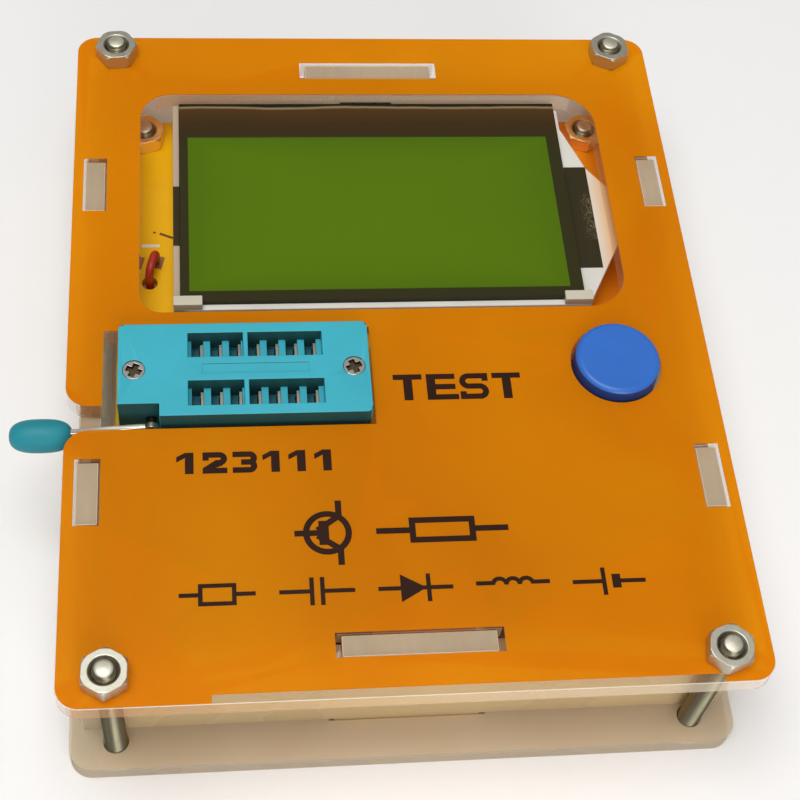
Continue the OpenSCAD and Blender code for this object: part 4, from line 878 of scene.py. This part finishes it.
def dress_button(bright, black):
    bevelled("switch_body", black)
    bevelled("switch_cover", metal("switch_plate", linear(190, 188, 182), 0.35), 0.05 * MM, 1)
    bevelled("switch_plunger", black, 0.1 * MM)
    paint("switch_pins", bright)
    dress_cap()


def dress_inside(bright, black, solder):
    bevelled("microcontroller", black, 0.04 * MM, 1)
    bevelled("crystal", bright, 0.1 * MM)
    bevelled("regulator", black, 0.1 * MM)
    paint("regulator_legs", solder)
    bevelled("board_capacitors", metal("capacitor_can", linear(206, 206, 202), 0.3), 0.15 * MM)
    bevelled("battery_body", battery_material(), 0.2 * MM)
    paint("battery_terminals", bright)
    bevelled("battery_snap", black, 0.3 * MM)
    paint("snap_terminals", bright)
    smooth_lead("red_lead", moulded("red_insulation", linear(176, 50, 30), 0.42, 0.1))
    smooth_lead("black_lead", moulded("black_insulation", linear(30, 28, 28), 0.42, 0.15))


# ---------- light and floor ----------

FLOOR_SIZE = 3.0
FLOOR_CELLS = 8
SKY = ((0.0, (0.42, 0.41, 0.39)), (0.75, (0.62, 0.61, 0.59)), (1.0, (1.0, 0.985, 0.96)))
SKY_STRENGTH = 0.56
LIGHTS = (
    {"name": "key", "place": (-0.1, -0.06, 0.65), "size": 0.45, "power": 2.35},
    {"name": "fill", "place": (0.1, -0.6, 0.22), "size": 0.5, "power": 1.5},
)


def add_light(name, place, size, power, aim):
    """A round soft light turned towards a point."""
    data = bpy.data.lights.new(name, "AREA")
    data.shape = "DISK"
    data.size = size
    data.energy = power
    light = bpy.data.objects.new(name, data)
    bpy.context.collection.objects.link(light)
    light.location = place
    light.rotation_euler = (aim - Vector(place)).to_track_quat("-Z", "Y").to_euler()


def add_sky():
    """Soft room light, brighter overhead."""
    world = bpy.data.worlds.new("studio")
    bpy.context.scene.world = world
    world.use_nodes = True
    nodes, links = world.node_tree.nodes, world.node_tree.links
    background = nodes["Background"]
    place = nodes.new("ShaderNodeTexCoord")
    axes = nodes.new("ShaderNodeSeparateXYZ")
    sky = nodes.new("ShaderNodeValToRGB")
    stops = sky.color_ramp.elements
    stops.new(0.5)
    for stop, (position, colour) in zip(stops, SKY):
        stop.position = position
        stop.color = (*colour, 1)
    links.new(place.outputs["Generated"], axes.inputs["Vector"])
    links.new(axes.outputs["Z"], sky.inputs["Fac"])
    links.new(sky.outputs["Color"], background.inputs["Color"])
    background.inputs["Strength"].default_value = SKY_STRENGTH


def add_floor():
    """A plain pale floor under the object."""
    mesh = bmesh.new()
    bmesh.ops.create_grid(mesh, x_segments=FLOOR_CELLS, y_segments=FLOOR_CELLS, size=FLOOR_SIZE / 2)
    data = bpy.data.meshes.new("floor")
    mesh.to_mesh(data)
    mesh.free()
    data.materials.append(floor_material())
    floor = bpy.data.objects.new("floor", data)
    floor.location = (0, 0, CAD_BOX[0][2])
    bpy.context.collection.objects.link(floor)


def add_studio():
    add_sky()
    centre = (Vector(CAD_BOX[0]) + Vector(CAD_BOX[1])) / 2
    for light in LIGHTS:
        add_light(aim=centre, **light)
    bpy.context.scene.view_settings.view_transform = "Standard"
    add_floor()


add_camera()
# Painted shade: the screw steel is darkened to stand for the shade in the nuts' bores.
bore_shaded_steel = metal("screw_steel", linear(138, 131, 108), 0.34, (1.0, 1.0, 0.1))
tip = metal("screw_tip", linear(222, 218, 200), 0.5)
bright = metal("bright_plating", linear(214, 212, 206), 0.22)
solder = metal("solder", linear(190, 184, 170), 0.4)
black = moulded("black_plastic", linear(26, 26, 28), 0.5, 0.1)
dress_case(bore_shaded_steel, tip)
dress_board(bore_shaded_steel, tip)
dress_display(tape_material())
dress_socket(bright)
dress_button(bright, black)
dress_inside(bright, black, solder)
add_studio()
